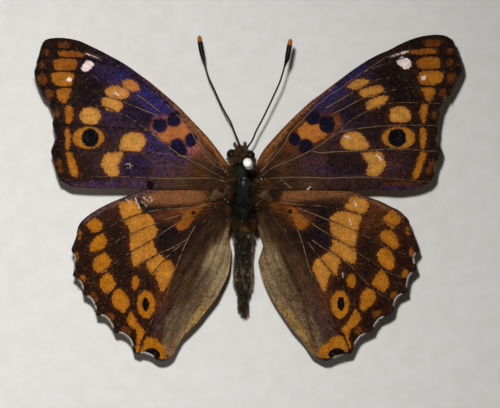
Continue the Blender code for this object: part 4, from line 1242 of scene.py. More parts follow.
def fur(name, roots, ways, lengths, widths, shades, look, bends=(0, 0, 0), flat=1.0):
    """Many hairs as one piece: roots, directions, lengths, half widths and shades, and how their tips bend aside."""
    n, k = len(roots), len(BLADE_POINTS)
    bends = np.broadcast_to(np.asarray(bends, float), roots.shape)
    ways = unit(ways)
    side = unit(np.cross(ways, (0.13, 0.21, 1.0)))
    up = np.cross(side, ways)
    t = BLADE_POINTS[None, :, 2, None]
    co = roots[:, None] + (ways[:, None] * t + bends[:, None] * t * t) * lengths[:, None, None]
    around = side[:, None] * BLADE_POINTS[None, :, 0, None] + up[:, None] * BLADE_POINTS[None, :, 1, None] * flat
    co = co + around * widths[:, None, None]
    co[:, :, 2] += np.maximum(0.02 * MM - co[:, :, 2].min(1), 0)[:, None]  # nothing grows into the board
    co[:, :, :2] = np.clip(co[:, :, :2], cad_box[0][:2], cad_box[1][:2])
    faces = [[i * k + j for j in face] for i in range(n) for face in BLADE_FACES]
    mesh = bpy.data.meshes.new(name)
    mesh.from_pydata(co.reshape(-1, 3).tolist(), [], faces)
    carry(mesh, shade=np.repeat(shades, k), run=np.tile(BLADE_POINTS[:, 2], n))
    riding(mesh, [look])


def long_as(low, high, many):
    """So many random lengths between these millimetres, in metres."""
    return chance.uniform(low, high, many) * MM


def tufted(roots, ways, lengths, shades, tufts, pull=0.5, even=0.7):
    """Draws hairs together into tufts that share a shade: (ways, lengths, shades)."""
    ways = unit(ways)
    tips = roots + ways * lengths[:, None]
    pick = chance.choice(len(roots), tufts, replace=False)
    parts = np.array_split(roots, len(roots) // 1500 + 1)
    near = np.concatenate([((part[:, None] - roots[pick][None]) ** 2).sum(2).argmin(1) for part in parts])
    reach = tips * (1 - pull) + tips[pick][near] * pull - roots
    length = np.minimum(np.linalg.norm(reach, axis=1), lengths * 1.3)
    shades = np.clip(shades * (1 - even) + shades[pick][near] * even, 0, 1)
    return unit(reach), length, shades


def hair_look(name, dark, mid, light, root=0.45):
    """Hair from dark to light by each blade's shade, darker towards its root."""
    made, tree, shader = fresh(name)
    shade = carried(tree, "shade").outputs["Fac"]
    run = carried(tree, "run").outputs["Fac"]
    color = blended(tree, eased(tree, shade, 0.0, 0.55), dark, mid)
    color = blended(tree, eased(tree, shade, 0.55, 1.0), color, light)
    color = blended(tree, eased(tree, run, 0.0, 0.9, root, 0.0), color, dark)
    feed(shader, Base_Color=color, Roughness=eased(tree, shade, 0.0, 1.0, 0.4, 0.6), Specular_IOR_Level=0.14)
    return made


fringe_look = hair_look("fringe_scales", rgb(28, 18, 14), rgb(104, 86, 72), rgb(214, 208, 200), root=0.1)
FRINGE_HAIRS = 1400  # on each wing
SPAN = 120  # hairs that the margin is smoothed over, to find where it is hollow: there the fringe is white
for name, facts in WINGS.items():
    edge = evenly(smooth_line(facts["margin"]), FRINGE_HAIRS) * (1, -1) * UNIT + (-PIN_X * UNIT, PIN_Y * UNIT)
    padded = np.vstack([edge[:1].repeat(SPAN, 0), edge, edge[-1:].repeat(SPAN, 0)])
    kernel = np.ones(SPAN + 1) / (SPAN + 1)
    calm = np.stack([np.convolve(padded[:, k], kernel, "same")[SPAN:-SPAN] for k in (0, 1)], axis=1)
    ahead = np.gradient(edge, axis=0)
    outward = unit(np.stack([ahead[:, 1], -ahead[:, 0]], axis=1))
    middle = np.mean(edge, axis=0) + ((BODY, 0) - np.mean(edge, axis=0)) * 0.3
    outward *= np.sign(((edge - middle) * outward).sum(1))[:, None]
    hollow = ((calm - edge) * outward).sum(1) / MM
    shades = np.clip(0.1 + (0.35 + hollow * 9.0) * (edge[:, 1] < -9 * MM) + chance.normal(0, 0.12, len(edge)), 0, 1)
    if name.startswith("fore"):
        white = chance.uniform(0, 1, len(edge)) > (0.9 if name.endswith("left") else 0.72)
        shades = np.clip(shades * 0.6 + hollow * 4.0 + 0.45 * white, 0, 1)
    start = edge - outward * 0.27 * MM
    z = facts["height"](start[:, 0], start[:, 1]) + chance.uniform(-0.03, 0.05, len(edge)) * MM
    ways = np.concatenate([outward + chance.normal(0, 0.16, outward.shape), np.zeros((len(edge), 1))], axis=1)
    lengths = (0.26 + chance.uniform(-0.06, 0.03, len(edge)) + 0.07 * (shades > 0.5)) * MM
    widths = long_as(0.018, 0.03, len(edge))
    fur(name + "_fringe", np.column_stack([start, z]), ways, lengths, widths, shades, fringe_look)

wing_fur = hair_look("wing_fur", rgb(40, 26, 15), rgb(94, 64, 39), rgb(152, 120, 80))
count = 2600  # hairs sown on each wing; the ones that fall off its hairy part are dropped
for name, facts in WINGS.items():
    fore, left = name.startswith("fore"), name.endswith("left")
    sign = -1 if left else 1
    if fore:
        root = np.array((226.0 if left else 262.0, 176.0))
        fan = np.radians(chance.uniform(-64, 34, count))
        reach = chance.uniform(0, 1, count) ** 1.2 * 34
        lengths = long_as(0.6, 1.3, count)
    else:
        root = np.array((228.0 if left else 260.0, 204.0))
        fan = np.radians(chance.uniform(2, 92, count))
        reach = chance.uniform(0, 1, count) ** 0.8 * 150
        lengths = long_as(1.2, 2.8, count)
    p = root + np.stack([sign * np.cos(fan), np.sin(fan)], axis=1) * reach[:, None]
    ring = np.array([*facts["lead"], *facts["margin"][1:], *facts["inner"][1:-1]])
    keep = inside(p, ring) & (away(p, ring, True) > (1.5 if fore else 4))
    if not fore:
        soft, bare = ([shape for ink, _, _, shape in facts["wash"] if ink == want][0] for want in ("brown", "tan"))
        keep &= ((depth_in(p, soft) > 0) | (reach < 30)) & (depth_in(p, bare) < chance.normal(1.5, 2, count))
    p, fan, lengths = p[keep], fan[keep], lengths[keep]
    ways = np.stack([sign * np.cos(fan), -np.sin(fan), 0.06 + chance.uniform(0, 0.10, len(p))], axis=1)
    ways[:, :2] += chance.normal(0, 0.08, (len(p), 2))
    x, y = at(*p.T)
    roots = np.stack([x, y, facts["height"](x, y) + 0.05 * MM], axis=1)
    slope = (facts["height"](x + ways[:, 0] * MM, y + ways[:, 1] * MM) - facts["height"](x, y)) / MM
    ways[:, 2] += slope
    shades = chance.beta(1.6, 2.0, len(p)) * np.clip(np.hypot(*(p - root).T) / (16 if fore else 80), 0.2, 1)
    ways, lengths, shades = tufted(roots, ways, lengths, shades, len(p) // 7, 0.25, 0.6)
    widths = long_as(0.009, 0.018, len(p))
    bends = np.column_stack([chance.normal(0, 0.06, (len(p), 2)), np.full(len(p), -0.09)])
    fur(name + "_hair", roots, ways, lengths, widths, shades, wing_fur, bends, flat=0.6)

# Thorax: a horn box for the flight muscles, dark and nearly bald along the back, thick with brown hair on its sides.
# The pin goes through it a little right of the middle.
horn, tree, shader = fresh("back_horn")
spot = here(tree)
fine, broad = grain(tree, spot, 3000.0, 4.0, 0.7), grain(tree, spot, 700.0, 3.0)
color = blended(tree, eased(tree, broad, 0.42, 0.6), rgb(2, 3, 3), rgb(16, 19, 11))
# A painted green sheen on the upper left of the back, where the lamp shines on the horn.
shoulder_at = (*at(237, 170), 8.9 * MM)
shoulder = put(tree, "ShaderNodeVectorMath", {"operation": "DISTANCE"}, i0=spot, i1=shoulder_at).outputs["Value"]
glint = times(tree, eased(tree, shoulder, 0.3 * MM, 1.5 * MM, 1.0, 0.0), eased(tree, broad, 0.3, 0.6, 0.3, 1.0))
color = blended(tree, glint, color, rgb(24, 36, 20))
color = blended(tree, times(tree, eased(tree, fine, 0.62, 0.74), 0.4), color, rgb(56, 50, 32))
feed(
    shader, Base_Color=color, Roughness=eased(tree, fine, 0.3, 0.7, 0.34, 0.6),
    Normal=relief(tree, plus(tree, fine, times(tree, broad, 2.0)), 1.0, 0.16 * MM), Specular_IOR_Level=0.1,
    Coat_Weight=0.04, Coat_Roughness=0.2,
)

THORAX = [
    (161.8, 243.5, 0.25, 6.45, 0.25), (162.8, 244, 1.0, 6.45, 1.0), (164.4, 244, 1.65, 6.5, 1.75),
    (168, 244, 2.15, 6.5, 2.35), (177, 244, 2.45, 6.4, 2.78), (189, 244, 2.52, 6.3, 2.9), (201, 244, 2.42, 6.2, 2.75),
    (212, 244, 2.22, 6.1, 2.45), (221.5, 244, 1.9, 6.0, 2.05), (227.5, 244, 1.45, 5.9, 1.6),
    (228.6, 244, 0.4, 5.88, 0.5),
]


def body_mesh(rows, around, rings, sink=0.0):
    """A ball stretched to a table of (along, middle, half width, height, half height)."""
    rows = smooth_line(rows, 8)
    form = bmesh.new()
    bmesh.ops.create_uvsphere(form, u_segments=around, v_segments=rings, radius=1.0)
    run = run_along(rows[:, [0, 2]] * (UNIT, MM))
    run /= run[-1]
    for v in form.verts:
        t = math.acos(max(-1, min(1, v.co.z))) / math.pi
        turn = math.atan2(v.co.y, v.co.x)
        y, x, wide, z, high = (np.interp(t, run, rows[:, k]) for k in range(5))
        ring = 0.0 if t < 1e-4 or t > 1 - 1e-4 else 1.0
        px, py = at(x, y)
        wide, high = ring * (wide - sink) * MM, ring * (high - sink) * MM
        v.co = (px + wide * math.cos(turn), py, z * MM + high * math.sin(turn))
    bmesh.ops.recalc_face_normals(form, faces=form.faces[:])
    return form


form = body_mesh(THORAX, 96, 120, 0.04)
shield = depth_in(
    drawn(np.array([v.co for v in form.verts])),
    [(231, 205), (238, 208), (244, 209), (250, 208), (256, 206), (251, 214), (244, 222), (237, 214)],
)
for v, deep in zip(form.verts, shield):
    side = (v.co.x - BODY) / MM
    back = v.co.y / MM
    if v.co.z > 6.5 * MM:
        v.co.z += (0.2 * min(max(deep / 2.2 + 0.1, 0), 1) - 0.12 * math.exp(-((deep + 1.2) ** 2) / 1.2)) * MM
        v.co.z -= 0.05 * MM * math.exp(-((side / 0.12) ** 2))
        v.co.z -= 0.03 * MM * math.exp(-(((abs(side) - 1.0 - 0.05 * back) / 0.14) ** 2))
        v.co.z += 0.03 * MM * math.sin(side * 5 + back * 2.2) * math.sin(back * 3.1 - side * 3)
        v.co.z += 0.012 * MM * math.sin(side * 17 - back * 6) * math.sin(back * 13 + side * 5)
drill = bmesh.new()
PIN_HOLE = 0.29 * MM  # the hole's radius, a little more than the shaft's
bmesh.ops.create_cone(drill, cap_ends=True, segments=24, radius1=PIN_HOLE, radius2=PIN_HOLE, depth=12 * MM)
for v in drill.verts:
    height = v.co.z + 6.2 * MM
    v.co = (v.co.x + PIN_LEAN.x * height, v.co.y + PIN_LEAN.y * height, height)
drill_piece = placed("drill", meshed(drill, "drill"))
back_piece = finished(form, "thorax_shell", horn, ["thorax"])
hole = back_piece.modifiers.new("pin hole", "BOOLEAN")
hole.object = drill_piece
hole.solver = "EXACT"
bpy.context.view_layer.update()
bored = bpy.data.meshes.new_from_object(back_piece.evaluated_get(bpy.context.evaluated_depsgraph_get()))
back_piece.modifiers.clear()
back_piece.data = bored
bpy.data.objects.remove(drill_piece)


def on_body(rows, count, low, high, turn_low, turn_high):
    """Random places on a body table: points, normals and (along, turn)."""
    rows = smooth_line(rows, 8)
    y = chance.uniform(low, high, count)
    turn = np.radians(chance.uniform(turn_low, turn_high, count))
    x, wide, z, h = (np.interp(y, rows[:, 0], rows[:, k]) for k in (1, 2, 3, 4))
    px, py = at(x, y)
    co = np.stack([px + wide * MM * np.cos(turn), py, (z + h * np.sin(turn)) * MM], axis=1)
    normal = unit(np.stack([np.cos(turn) / wide, np.zeros(count), np.sin(turn) / h], axis=1))
    return co, normal, y, turn


BALD = [
    (236, 164), (234, 172), (235, 182), (233.5, 191), (232, 199), (228.5, 205), (232, 214), (243, 224), (253, 215),
    (257, 206.5), (252, 200), (251, 192), (252, 184), (250, 174), (244, 164),
]


def off_bald(co, slack):
    """Which of these places on the back lie outside the bald band, whose edge the hair crosses here and there."""
    return depth_in(drawn(co), BALD) < chance.normal(0, slack, len(co))


body_fur = hair_look("body_fur", rgb(28, 19, 10), rgb(84, 56, 25), rgb(162, 118, 56))
co, normal, y, turn = on_body(THORAX, 6000, 164, 227, -200, 20)
lift = np.abs(np.degrees(turn) + 90)  # 0 under the body, 110 at the wing roots
keep = lift < 108
co, normal, y = co[keep], normal[keep], y[keep]
ways = normal * 0.55 + np.array((0, -0.9, 0)) + chance.normal(0, 0.22, normal.shape)
roots = co - normal * 0.04 * MM
ways, lengths, shades = tufted(roots, ways, long_as(0.5, 1.3, len(co)), chance.beta(1.3, 2.0, len(co)), 500)
fur("thorax_fur", roots, ways, lengths, long_as(0.015, 0.028, len(co)), shades, body_fur, (0, -0.1, 0))
places = [on_body(THORAX, 4200, 163.5, 228, low, high) for low, high in ((8, 84), (96, 172))]
co, normal, y = (np.concatenate([p[k] for p in places]) for k in (0, 1, 2))
keep = off_bald(co, 2.2)
co, normal, y = co[keep], normal[keep], y[keep]
outer = np.sign(co[:, 0] - BODY)[:, None]
roots = co - normal * 0.03 * MM
ways = normal * 0.5 + np.array((0, -0.55, 0)) + outer * (0.75, 0, 0) + chance.normal(0, 0.35, normal.shape)
ways[:, 2] -= 0.25 * (normal[:, 2] < 0.6)
off = np.abs(co[:, 0] - BODY) / MM
pale_band = 0.3 * np.exp(-(((off - 1.6) / 0.6) ** 2)) * (np.abs(y - 188) < 24)
shades = np.clip(chance.beta(0.7, 1.5, len(co)) + pale_band - 0.12, 0, 1)
ways, lengths, shades = tufted(roots, ways, long_as(0.5, 1.5, len(co)), shades, 260, 0.55, 0.88)
fur(
    "thorax_side_fur", roots, ways, lengths, long_as(0.010, 0.021, len(co)), shades, body_fur,
    (0, 0, -0.14),
)
co, normal, y, turn = on_body(THORAX, 2600, 163.5, 228, 50, 130)
keep = off_bald(co, 1.2) | (chance.uniform(0, 1, len(co)) < 0.16)
co, normal, y = co[keep], normal[keep], y[keep]
ways = normal * 0.3 + np.array((0, -1.0, 0)) + chance.normal(0, 0.35, normal.shape)
roots = co - normal * 0.03 * MM
ways, lengths, shades = tufted(
    roots, ways, long_as(0.25, 0.7, len(co)), chance.beta(0.8, 3.5, len(co)), 300, 0.4, 0.8
)
fur("thorax_back_fur", roots, ways, lengths, long_as(0.010, 0.018, len(co)), shades, body_fur)

co, normal, y, turn = on_body(THORAX, 1300, 219, 228.4, 30, 150)
centre = np.abs(co[:, 0] - at(245, 0)[0]) / MM
ways = normal * 0.35 + np.array((0, -1.0, -0.1)) + chance.normal(0, 0.25, normal.shape)
shades = np.where((centre < 0.75) & (y > 224), chance.uniform(0.6, 1.0, len(co)), chance.beta(1.0, 2.5, len(co)))
fur(
    "thorax_saddle_fur", co - normal * 0.03 * MM, ways, long_as(0.4, 1.0, len(co)), long_as(0.010, 0.018, len(co)),
    shades, body_fur, (0, 0, -0.12),
)
places = [on_body(THORAX, 420, 214, 228.2, low, high) for low, high in ((-25, 50), (130, 205))]
co, normal, y = (np.concatenate([p[k] for p in places]) for k in (0, 1, 2))
outer = np.sign(co[:, 0] - BODY)[:, None]
ways = normal * 0.2 + np.array((0, -1.0, -0.08)) + outer * (0.05, 0, 0) + chance.normal(0, 0.16, normal.shape)
ways, lengths, shades = tufted(co, ways, long_as(0.9, 1.9, len(co)), chance.beta(0.8, 2.6, len(co)), 60, 0.5, 0.8)
fur(
    "thorax_waist_fur", co - normal * 0.05 * MM, ways, lengths, long_as(0.014, 0.026, len(co)), shades, body_fur,
    (0, 0, -0.1),
)

# Wing roots: a smooth tan horn plate over each hindwing's root, lying on the membrane,
# and small glossy pale flakes in the fur beside it and on the back and abdomen, shaped like loose scales, whose pale
# colour paints white glints of light.
plate_look, tree, shader = fresh("root_plate_horn")
spot = here(tree)
fine, broad = grain(tree, spot, 4200.0, 3.0), grain(tree, spot, 900.0, 3.0)
color = blended(tree, eased(tree, broad, 0.35, 0.7), rgb(46, 32, 19), rgb(84, 62, 38))
color = blended(tree, times(tree, eased(tree, fine, 0.55, 0.75), 0.4), color, rgb(96, 74, 48))
feed(shader, Base_Color=color, Roughness=eased(tree, fine, 0.3, 0.7, 0.6, 0.8), Specular_IOR_Level=0.06)
for side, (x, y, turn) in {"left": (216.5, 195.5, 18), "right": (265.5, 196, -20)}.items():
    form = bmesh.new()
    bmesh.ops.create_uvsphere(form, u_segments=40, v_segments=20, radius=1.0)
    for v in form.verts:
        flat = 1.0 + 0.2 * math.cos(3 * math.atan2(v.co.y, v.co.x) + 1.6)
        high = v.co.z * 0.22 * MM + 0.03 * MM * math.sin(v.co.x * 5) * (v.co.z > 0)
        v.co = (v.co.x * flat * 1.05 * MM, v.co.y * flat * 0.8 * MM, high)
        v.co.rotate(Matrix.Rotation(math.radians(turn), 3, "Z"))
    bmesh.ops.translate(form, verts=form.verts[:], vec=(*at(x, y), 7.92 * MM))
    finished(form, "root_plate_" + side, plate_look)
glint_flake_look, tree, shader = fresh("painted_glint_flake")
glitter = grain(tree, here(tree), 3000.0, 2.0)
color = blended(tree, eased(tree, glitter, 0.35, 0.65), rgb(150, 126, 112), rgb(228, 212, 202))
feed(shader, Base_Color=color, Roughness=0.3)
form = bmesh.new()
for x, y, z, spread, many in (
    (209.5, 199, 8.0, 2.6, 9), (215, 201.5, 8.1, 2.0, 5), (226, 189, 8.6, 2.0, 6), (225.5, 172, 8.8, 2.2, 6),
    (260.5, 181, 8.8, 2.6, 12), (261, 189, 8.6, 2.2, 8), (260, 203, 8.4, 2.6, 10), (226, 205, 8.2, 2.2, 5),
    (239, 219, 8.5, 0.5, 1), (242.6, 222.2, 8.35, 0.9, 3), (243, 252, 6.75, 1.0, 3), (246, 268, 5.85, 4.0, 8),
    (243, 283, 4.7, 4.0, 8), (250, 236, 7.2, 1.6, 3),
):
    for _ in range(many):
        px, py = at(x + chance.normal(0, spread), y + chance.normal(0, spread * 1.4))
        size = chance.uniform(0.03, 0.085) * MM
        made = bmesh.ops.create_icosphere(form, subdivisions=1, radius=size)
        bmesh.ops.scale(form, vec=(1.0, chance.uniform(0.4, 0.9), 0.4), verts=made["verts"])
        bmesh.ops.translate(form, vec=(px, py, z * MM), verts=made["verts"])
finished(form, "flakes", glint_flake_look)

# Abdomen: a soft tapering tail of overlapping horn rings, covered with short dark hair, paler along its sides.
# It droops until its tip touches the board.
ABDOMEN = [
    (228.9, 243.5, 0.5, 5.88, 0.6), (229.8, 243.5, 1.4, 5.87, 1.5), (235, 243.5, 1.7, 5.75, 1.8),
    (243, 243.5, 1.52, 5.45, 1.72), (250, 243.5, 1.38, 5.1, 1.66), (260, 243, 1.44, 4.55, 1.66),
    (270, 243, 1.52, 3.95, 1.64), (280, 243, 1.54, 3.28, 1.58), (290, 243.5, 1.3, 2.5, 1.38),
    (297, 243.7, 0.98, 1.93, 1.08), (303, 242.6, 0.82, 1.38, 0.92), (310, 243.5, 0.9, 0.9, 0.88),
    (317, 244.2, 0.62, 0.75, 0.66), (319.4, 244, 0.36, 0.71, 0.4), (320.2, 244, 0.1, 0.7, 0.1),
]
CREASES = [238.0, 250.0, 262.0, 274.0, 285.0, 295.0, 303.5]
along, middles, _, heights, _ = zip(*ABDOMEN)
form = body_mesh(ABDOMEN, 64, 160, 0.15)
for v in form.verts:
    y = PIN_Y - v.co.y / UNIT
    x, z = (np.interp(y, along, column) for column in (middles, heights))
    middle = Vector((at(x, 0)[0], v.co.y, z * MM))
    pinch = max(math.exp(-(((y - c) / 1.3) ** 2)) for c in CREASES)
    v.co = middle + (v.co - middle) * (1 - 0.08 * pinch)
    v.co.z = max(v.co.z, 0.02 * MM)
plate, tree, shader = fresh("abdomen_horn")
spot = here(tree)
fine = grain(tree, spot, 3500.0, 4.0, 0.7)
color = blended(tree, eased(tree, fine, 0.35, 0.7), rgb(16, 12, 9), rgb(42, 31, 21))
feed(shader, Base_Color=color, Roughness=eased(tree, fine, 0.3, 0.7, 0.6, 0.85), Specular_IOR_Level=0.12)
finished(form, "abdomen_shell", plate, ["abdomen"])
tail_fur = hair_look("tail_fur", rgb(16, 11, 8), rgb(70, 52, 37), rgb(188, 168, 138), root=0.4)
places = [on_body(ABDOMEN, many, 229, 319, *way) for many, way in ((2200, (-180, 0)), (6200, (0, 180)))]
co, normal, y, turn = (np.concatenate([p[k] for p in places]) for k in range(4))
side = np.abs(np.cos(turn))
ways = normal * (0.22 + 0.16 * side[:, None] ** 3) + np.array((0, -1.0, -0.28)) + chance.normal(0, 0.24, normal.shape)
keep = co[:, 2] > 0.12 * MM
dark_zone = (side < 0.5) * np.exp(-(((y - 250) / 9) ** 2))
pale_zone = 0.25 * np.exp(-(((y - 277) / 13) ** 2)) - 0.25 * dark_zone + 0.2 * (y > 314)
shades = np.clip(chance.beta(0.8, 2.2, len(co)) + 0.6 * side**4 + 0.5 * (y < 231.5) + pale_zone, 0, 1)
lengths = long_as(0.3, 0.85, len(co))
roots, ways, lengths, shades = (part[keep] for part in (co - normal * 0.17 * MM, ways, lengths, shades))
ways, lengths, shades = tufted(roots, ways, lengths, shades, 700, 0.45, 0.85)
shades = np.where(chance.uniform(0, 1, len(shades)) < 0.05, 1.0, shades)
fur("abdomen_fur", roots, ways, lengths, long_as(0.010, 0.020, len(roots)), shades, tail_fur)

# Head: a small hairy capsule with two big black faceted eyes, two brush-like palps in front of it,
# and the sucking tongue rolled up like a watch spring beneath.
HEAD_AT = Vector((*at(240.9, 154.8), 6.5 * MM))
HEAD_SIZE = Vector((1.42, 1.12, 1.25)) * MM
EYES = {
    "eye_left": ((*at(231.6, 154.2), 6.45 * MM), (0.74, 0.78, 0.95)),
    "eye_right": ((*at(250.1, 155.2), 6.45 * MM), (0.72, 0.76, 0.95)),
}
scalp, tree, shader = fresh("head_horn")
fine = grain(tree, here(tree), 3000.0, 4.0, 0.7)
color = blended(tree, eased(tree, fine, 0.35, 0.7), rgb(36, 25, 17), rgb(66, 46, 30))
feed(shader, Base_Color=color, Roughness=eased(tree, fine, 0.3, 0.7, 0.6, 0.8), Specular_IOR_Level=0.1)
dress(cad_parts["head"].data, scalp)
eye_look, tree, shader = fresh("eye_lens")
facets = put(tree, "ShaderNodeTexVoronoi", {"feature": "F1"}, Vector=here(tree), Scale=16000.0)
color = blended(tree, eased(tree, facets.outputs["Distance"], 0.2, 0.7), rgb(30, 20, 16), rgb(10, 7, 6))
feed(
    shader, Base_Color=color, Roughness=eased(tree, facets.outputs["Distance"], 0.1, 0.8, 0.36, 0.5),
    Specular_IOR_Level=0.2, Normal=relief(tree, facets.outputs["Distance"], 0.4, 0.01 * MM, True),
)
for name, (centre, size) in EYES.items():
    form = bmesh.new()
    bmesh.ops.create_icosphere(form, subdivisions=5, radius=1.0)
    bmesh.ops.scale(form, vec=Vector(size) * MM, verts=form.verts[:])
    bmesh.ops.translate(form, vec=centre, verts=form.verts[:])
    finished(form, name + "_lens", eye_look, [name])

count = 5200
way = unit(chance.normal(0, 1, (count, 3)))
co = np.array(HEAD_AT) + way * np.array(HEAD_SIZE)
keep = np.ones(count, bool)
for centre, size in EYES.values():
    keep &= (((co - np.array(centre)) / (np.array(size) * MM * 1.25)) ** 2).sum(1) > 1
co, way = co[keep], way[keep]
combed = np.array((0, 0.7, 0.05)) * np.sign(way[:, 1:2] + 0.3)  # forwards over the brow, backwards behind it
lean = way * (0.25, 0.45, 0.45) + combed + chance.normal(0, 0.3, way.shape)
head_fur = hair_look("head_fur", rgb(44, 30, 20), rgb(104, 75, 47), rgb(170, 140, 102))
lean, lengths, shades = tufted(
    co - way * 0.03 * MM, lean, long_as(0.25, 0.7, len(co)), chance.beta(1.0, 1.8, len(co)), 260, 0.5, 0.8
)
fur("head_tuft", co - way * 0.03 * MM, lean, lengths, long_as(0.010, 0.020, len(co)), shades, head_fur)
RUFF_HAIRS = 420  # on each side of the neck
spread = chance.uniform(0, 1, (2, RUFF_HAIRS))
for k, (x, y, turn_low, turn_high) in enumerate(((232.5, 159, 150, 285), (248.5, 160.5, 255, 390))):
    turn = np.radians(turn_low + (turn_high - turn_low) * spread[k])
    strewn = np.column_stack([chance.normal(0, 0.28, (RUFF_HAIRS, 2)), chance.normal(0, 0.16, RUFF_HAIRS)])
    co = np.array((*at(x, y), 7.0 * MM)) + strewn * MM
    ways = np.column_stack([np.cos(turn), 0.8 * np.sin(turn), chance.uniform(-0.1, 0.35, RUFF_HAIRS)])
    ways, lengths, shades = tufted(
        co, ways, long_as(0.5, 1.0, RUFF_HAIRS), chance.beta(2.0, 1.8, RUFF_HAIRS), 40, 0.4, 0.7
    )
    fur(
        "neck_ruff_" + "lr"[k], co, ways, lengths, long_as(0.011, 0.020, RUFF_HAIRS), shades, head_fur,
        (0, 0, -0.2),
    )
PALPS = {
    "palp_left": [(236.4, 147.8, 6.25), (235.3, 145.6, 6.55), (234.8, 143.8, 6.8)],
    "palp_right": [(244.6, 147.3, 6.25), (244.9, 145.2, 6.55), (244.9, 143.2, 6.8)],
}
PALP_HAIRS = 900  # on each palp
for name, way in PALPS.items():
    line = evenly(smooth_line([(*at(x, y), z * MM) for x, y, z in way], 6), 40)
    girths = np.interp(range(40), [0, 20, 39], [0.16, 0.2, 0.06]) * MM
    ribs(name + "_core", [(line, girths, np.zeros(40))], scalp, replaces=[name])
    pick = chance.integers(0, 38, PALP_HAIRS)
    ahead = unit(np.gradient(line, axis=0)[pick])
    off = chance.normal(0, 1, (PALP_HAIRS, 3))
    off = unit(off - ahead * (off * ahead).sum(1)[:, None])
    girth = np.interp(pick, [0, 20, 38], [0.14, 0.17, 0.05])[:, None] * MM
    fur(
        name + "_brush", line[pick] + off * girth, ahead + off * 0.32 + chance.normal(0, 0.08, off.shape),
        long_as(0.22, 0.46, PALP_HAIRS), long_as(0.009, 0.017, PALP_HAIRS), chance.beta(2.0, 1.6, PALP_HAIRS),
        head_fur,
    )
tongue, tree, shader = fresh("tongue_horn")
fine = grain(tree, here(tree), 6000.0, 2.0)
color = blended(tree, eased(tree, fine, 0.35, 0.65), rgb(74, 46, 24), rgb(120, 82, 44))
feed(shader, Base_Color=color, Roughness=0.42)
COIL_STEPS = 120
coil = []
for k in range(COIL_STEPS + 1):
    turn = 4.2 * math.pi * k / COIL_STEPS
    r = 0.74 - 0.27 * turn / (2 * math.pi)
    coil.append((HEAD_AT.x, (3.72 + r * math.sin(turn)) * MM, (4.5 + r * math.cos(turn)) * MM))
girths = np.interp(range(COIL_STEPS + 1), [0, 108, COIL_STEPS], [0.1, 0.095, 0.05]) * MM
ribs(
    "tongue", [(np.array(coil), girths, np.zeros(COIL_STEPS + 1))], tongue, sides=3,
    replaces=["proboscis"],
)

# Antennae: hair-thin jointed horn rods that swell to a long black club with an orange tip.
# Each is rooted on the front of the head between the eyes, and its joints show as fine paler rings.
ANTENNAE = {
    "antenna_left": [
        (239.9, 147.9, 7.05), (238.5, 141.7, 7.3), (234.7, 132.7, 7.5), (230.6, 122, 7.6), (224.8, 112, 7.6),
        (219.0, 100.4, 7.6), (212.7, 86.2, 7.5), (207.8, 75.6, 7.4), (203.2, 58.2, 7.2), (200.6, 46, 7.1),
        (199.2, 35.6, 7.0),
    ],
    "antenna_right": [
        (247.0, 147.6, 7.0), (252.3, 140.4, 7.5), (256.4, 130.8, 8.0), (263.8, 116.9, 8.6), (272.8, 98.2, 9.2),
        (279.7, 82.8, 9.7), (284.2, 68.0, 10.0), (286.6, 60.6, 10.2), (288.0, 53, 10.4), (290.2, 41.2, 10.6),
    ],
}
rod, tree, shader = fresh("antenna_horn")
left = carried(tree, "worn").outputs["Fac"]  # millimetres left to the tip
rings = worked(tree, "ABSOLUTE", minus(tree, worked(tree, "FRACT", times(tree, left, 3.2)), 0.5))
color = blended(tree, eased(tree, rings, 0.02, 0.12, 0.5, 0.0), rgb(22, 15, 12), rgb(70, 58, 48))
color = blended(tree, eased(tree, left, 3.9, 3.2), color, rgb(11, 8, 7))
color = blended(tree, eased(tree, left, 0.95, 0.75), color, rgb(166, 92, 18))
feed(shader, Base_Color=color, Roughness=eased(tree, rings, 0.0, 0.2, 0.6, 0.45), Specular_IOR_Level=0.15)
for name, way in ANTENNAE.items():
    line = evenly(smooth_line([(*at(x, y), z * MM) for x, y, z in way], 6), 240)
    run = run_along(line) / MM
    left_over = run[-1] - run
    club = np.clip((4.4 - left_over) / 2.0, 0, 1)
    radius = 0.132 + 0.24 * club * club * (3 - 2 * club)
    radius *= np.where(left_over < 1.0, 0.3 + 0.7 * np.sqrt(np.clip(1 - (1 - left_over) ** 2, 0, 1)), 1)
    radius += 0.05 * np.exp(-run / 0.4) - 0.012 * (np.abs((left_over * 3.2) % 1 - 0.5) < 0.12)
    ribs(name + "_rod", [(line, radius * MM, left_over)], rod, sides=3, replaces=[name])

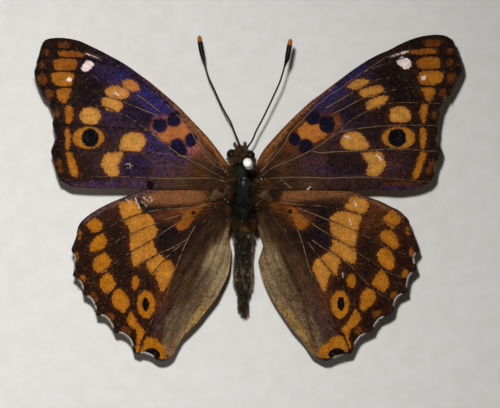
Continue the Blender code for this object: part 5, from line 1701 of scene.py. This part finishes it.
# Legs: thin jointed tubes of brown horn that hang from the thorax, folded under the body.
# The two fore legs are short and held up, and the middle and hind feet lie on the board.
leg_look, tree, shader = fresh("leg_horn")
spot = here(tree)
fine = grain(tree, spot, 4200.0, 3.0)
color = blended(tree, eased(tree, fine, 0.35, 0.65), rgb(70, 50, 32), rgb(128, 98, 66))
feed(shader, Base_Color=color, Roughness=eased(tree, fine, 0.3, 0.7, 0.4, 0.6))
for name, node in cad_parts.items():
    if name.startswith("leg"):
        dress(node.data, leg_look)

# Board and studio: a plain pale board with a matt face, which isn't part of the model.
# One small lamp shines from above its upper left, a weak wide one fills in, and light comes from all round.
board, tree, shader = fresh("board_paper")
fine = grain(tree, here(tree), 400.0, 5.0)
color = blended(tree, eased(tree, fine, 0.3, 0.7), rgb(226, 224, 220), rgb(220, 218, 213))
feed(shader, Base_Color=color, Roughness=0.85)
form = bmesh.new()
bmesh.ops.create_grid(form, x_segments=1, y_segments=1, size=0.6)
floor = placed("board", meshed(form, "board"))
dress(floor.data, board)


def lamp(name, place, aim, wide, power):
    """A round lamp of this width in metres and power in watts."""
    data = bpy.data.lights.new(name, "AREA")
    data.shape = "DISK"
    data.size = wide
    data.energy = power
    made = placed(name, data)
    made.location = place
    made.rotation_euler = (Vector(aim) - Vector(place)).to_track_quat("-Z", "Y").to_euler()


KEY = Vector((*at(194, 4), 0.2))
lamp("key", KEY, KEY + Vector((-1.05, -0.85, -1.0)), 0.012, 0.545)
lamp("fill", (-0.10, -0.05, 0.10), (-0.02, 0, 0), 0.12, 0.011)
world = bpy.data.worlds.new("studio")
bpy.context.scene.world = world
world.use_nodes = True
feed(world.node_tree.nodes["Background"], Color=(1.0, 0.99, 0.97, 1), Strength=0.036)

# The camera looks straight down and sees 73 mm of the wings' plane from 250 mm above it.
view = bpy.data.cameras.new("view")
view.sensor_width = 36.0
view.lens = view.sensor_width * 250 / 73
view.clip_start = 0.01
camera = placed("view", view)
camera.location = (*at(250, 204), 0.2573)
bpy.context.scene.camera = camera
bpy.context.scene.view_settings.view_transform = "Standard"
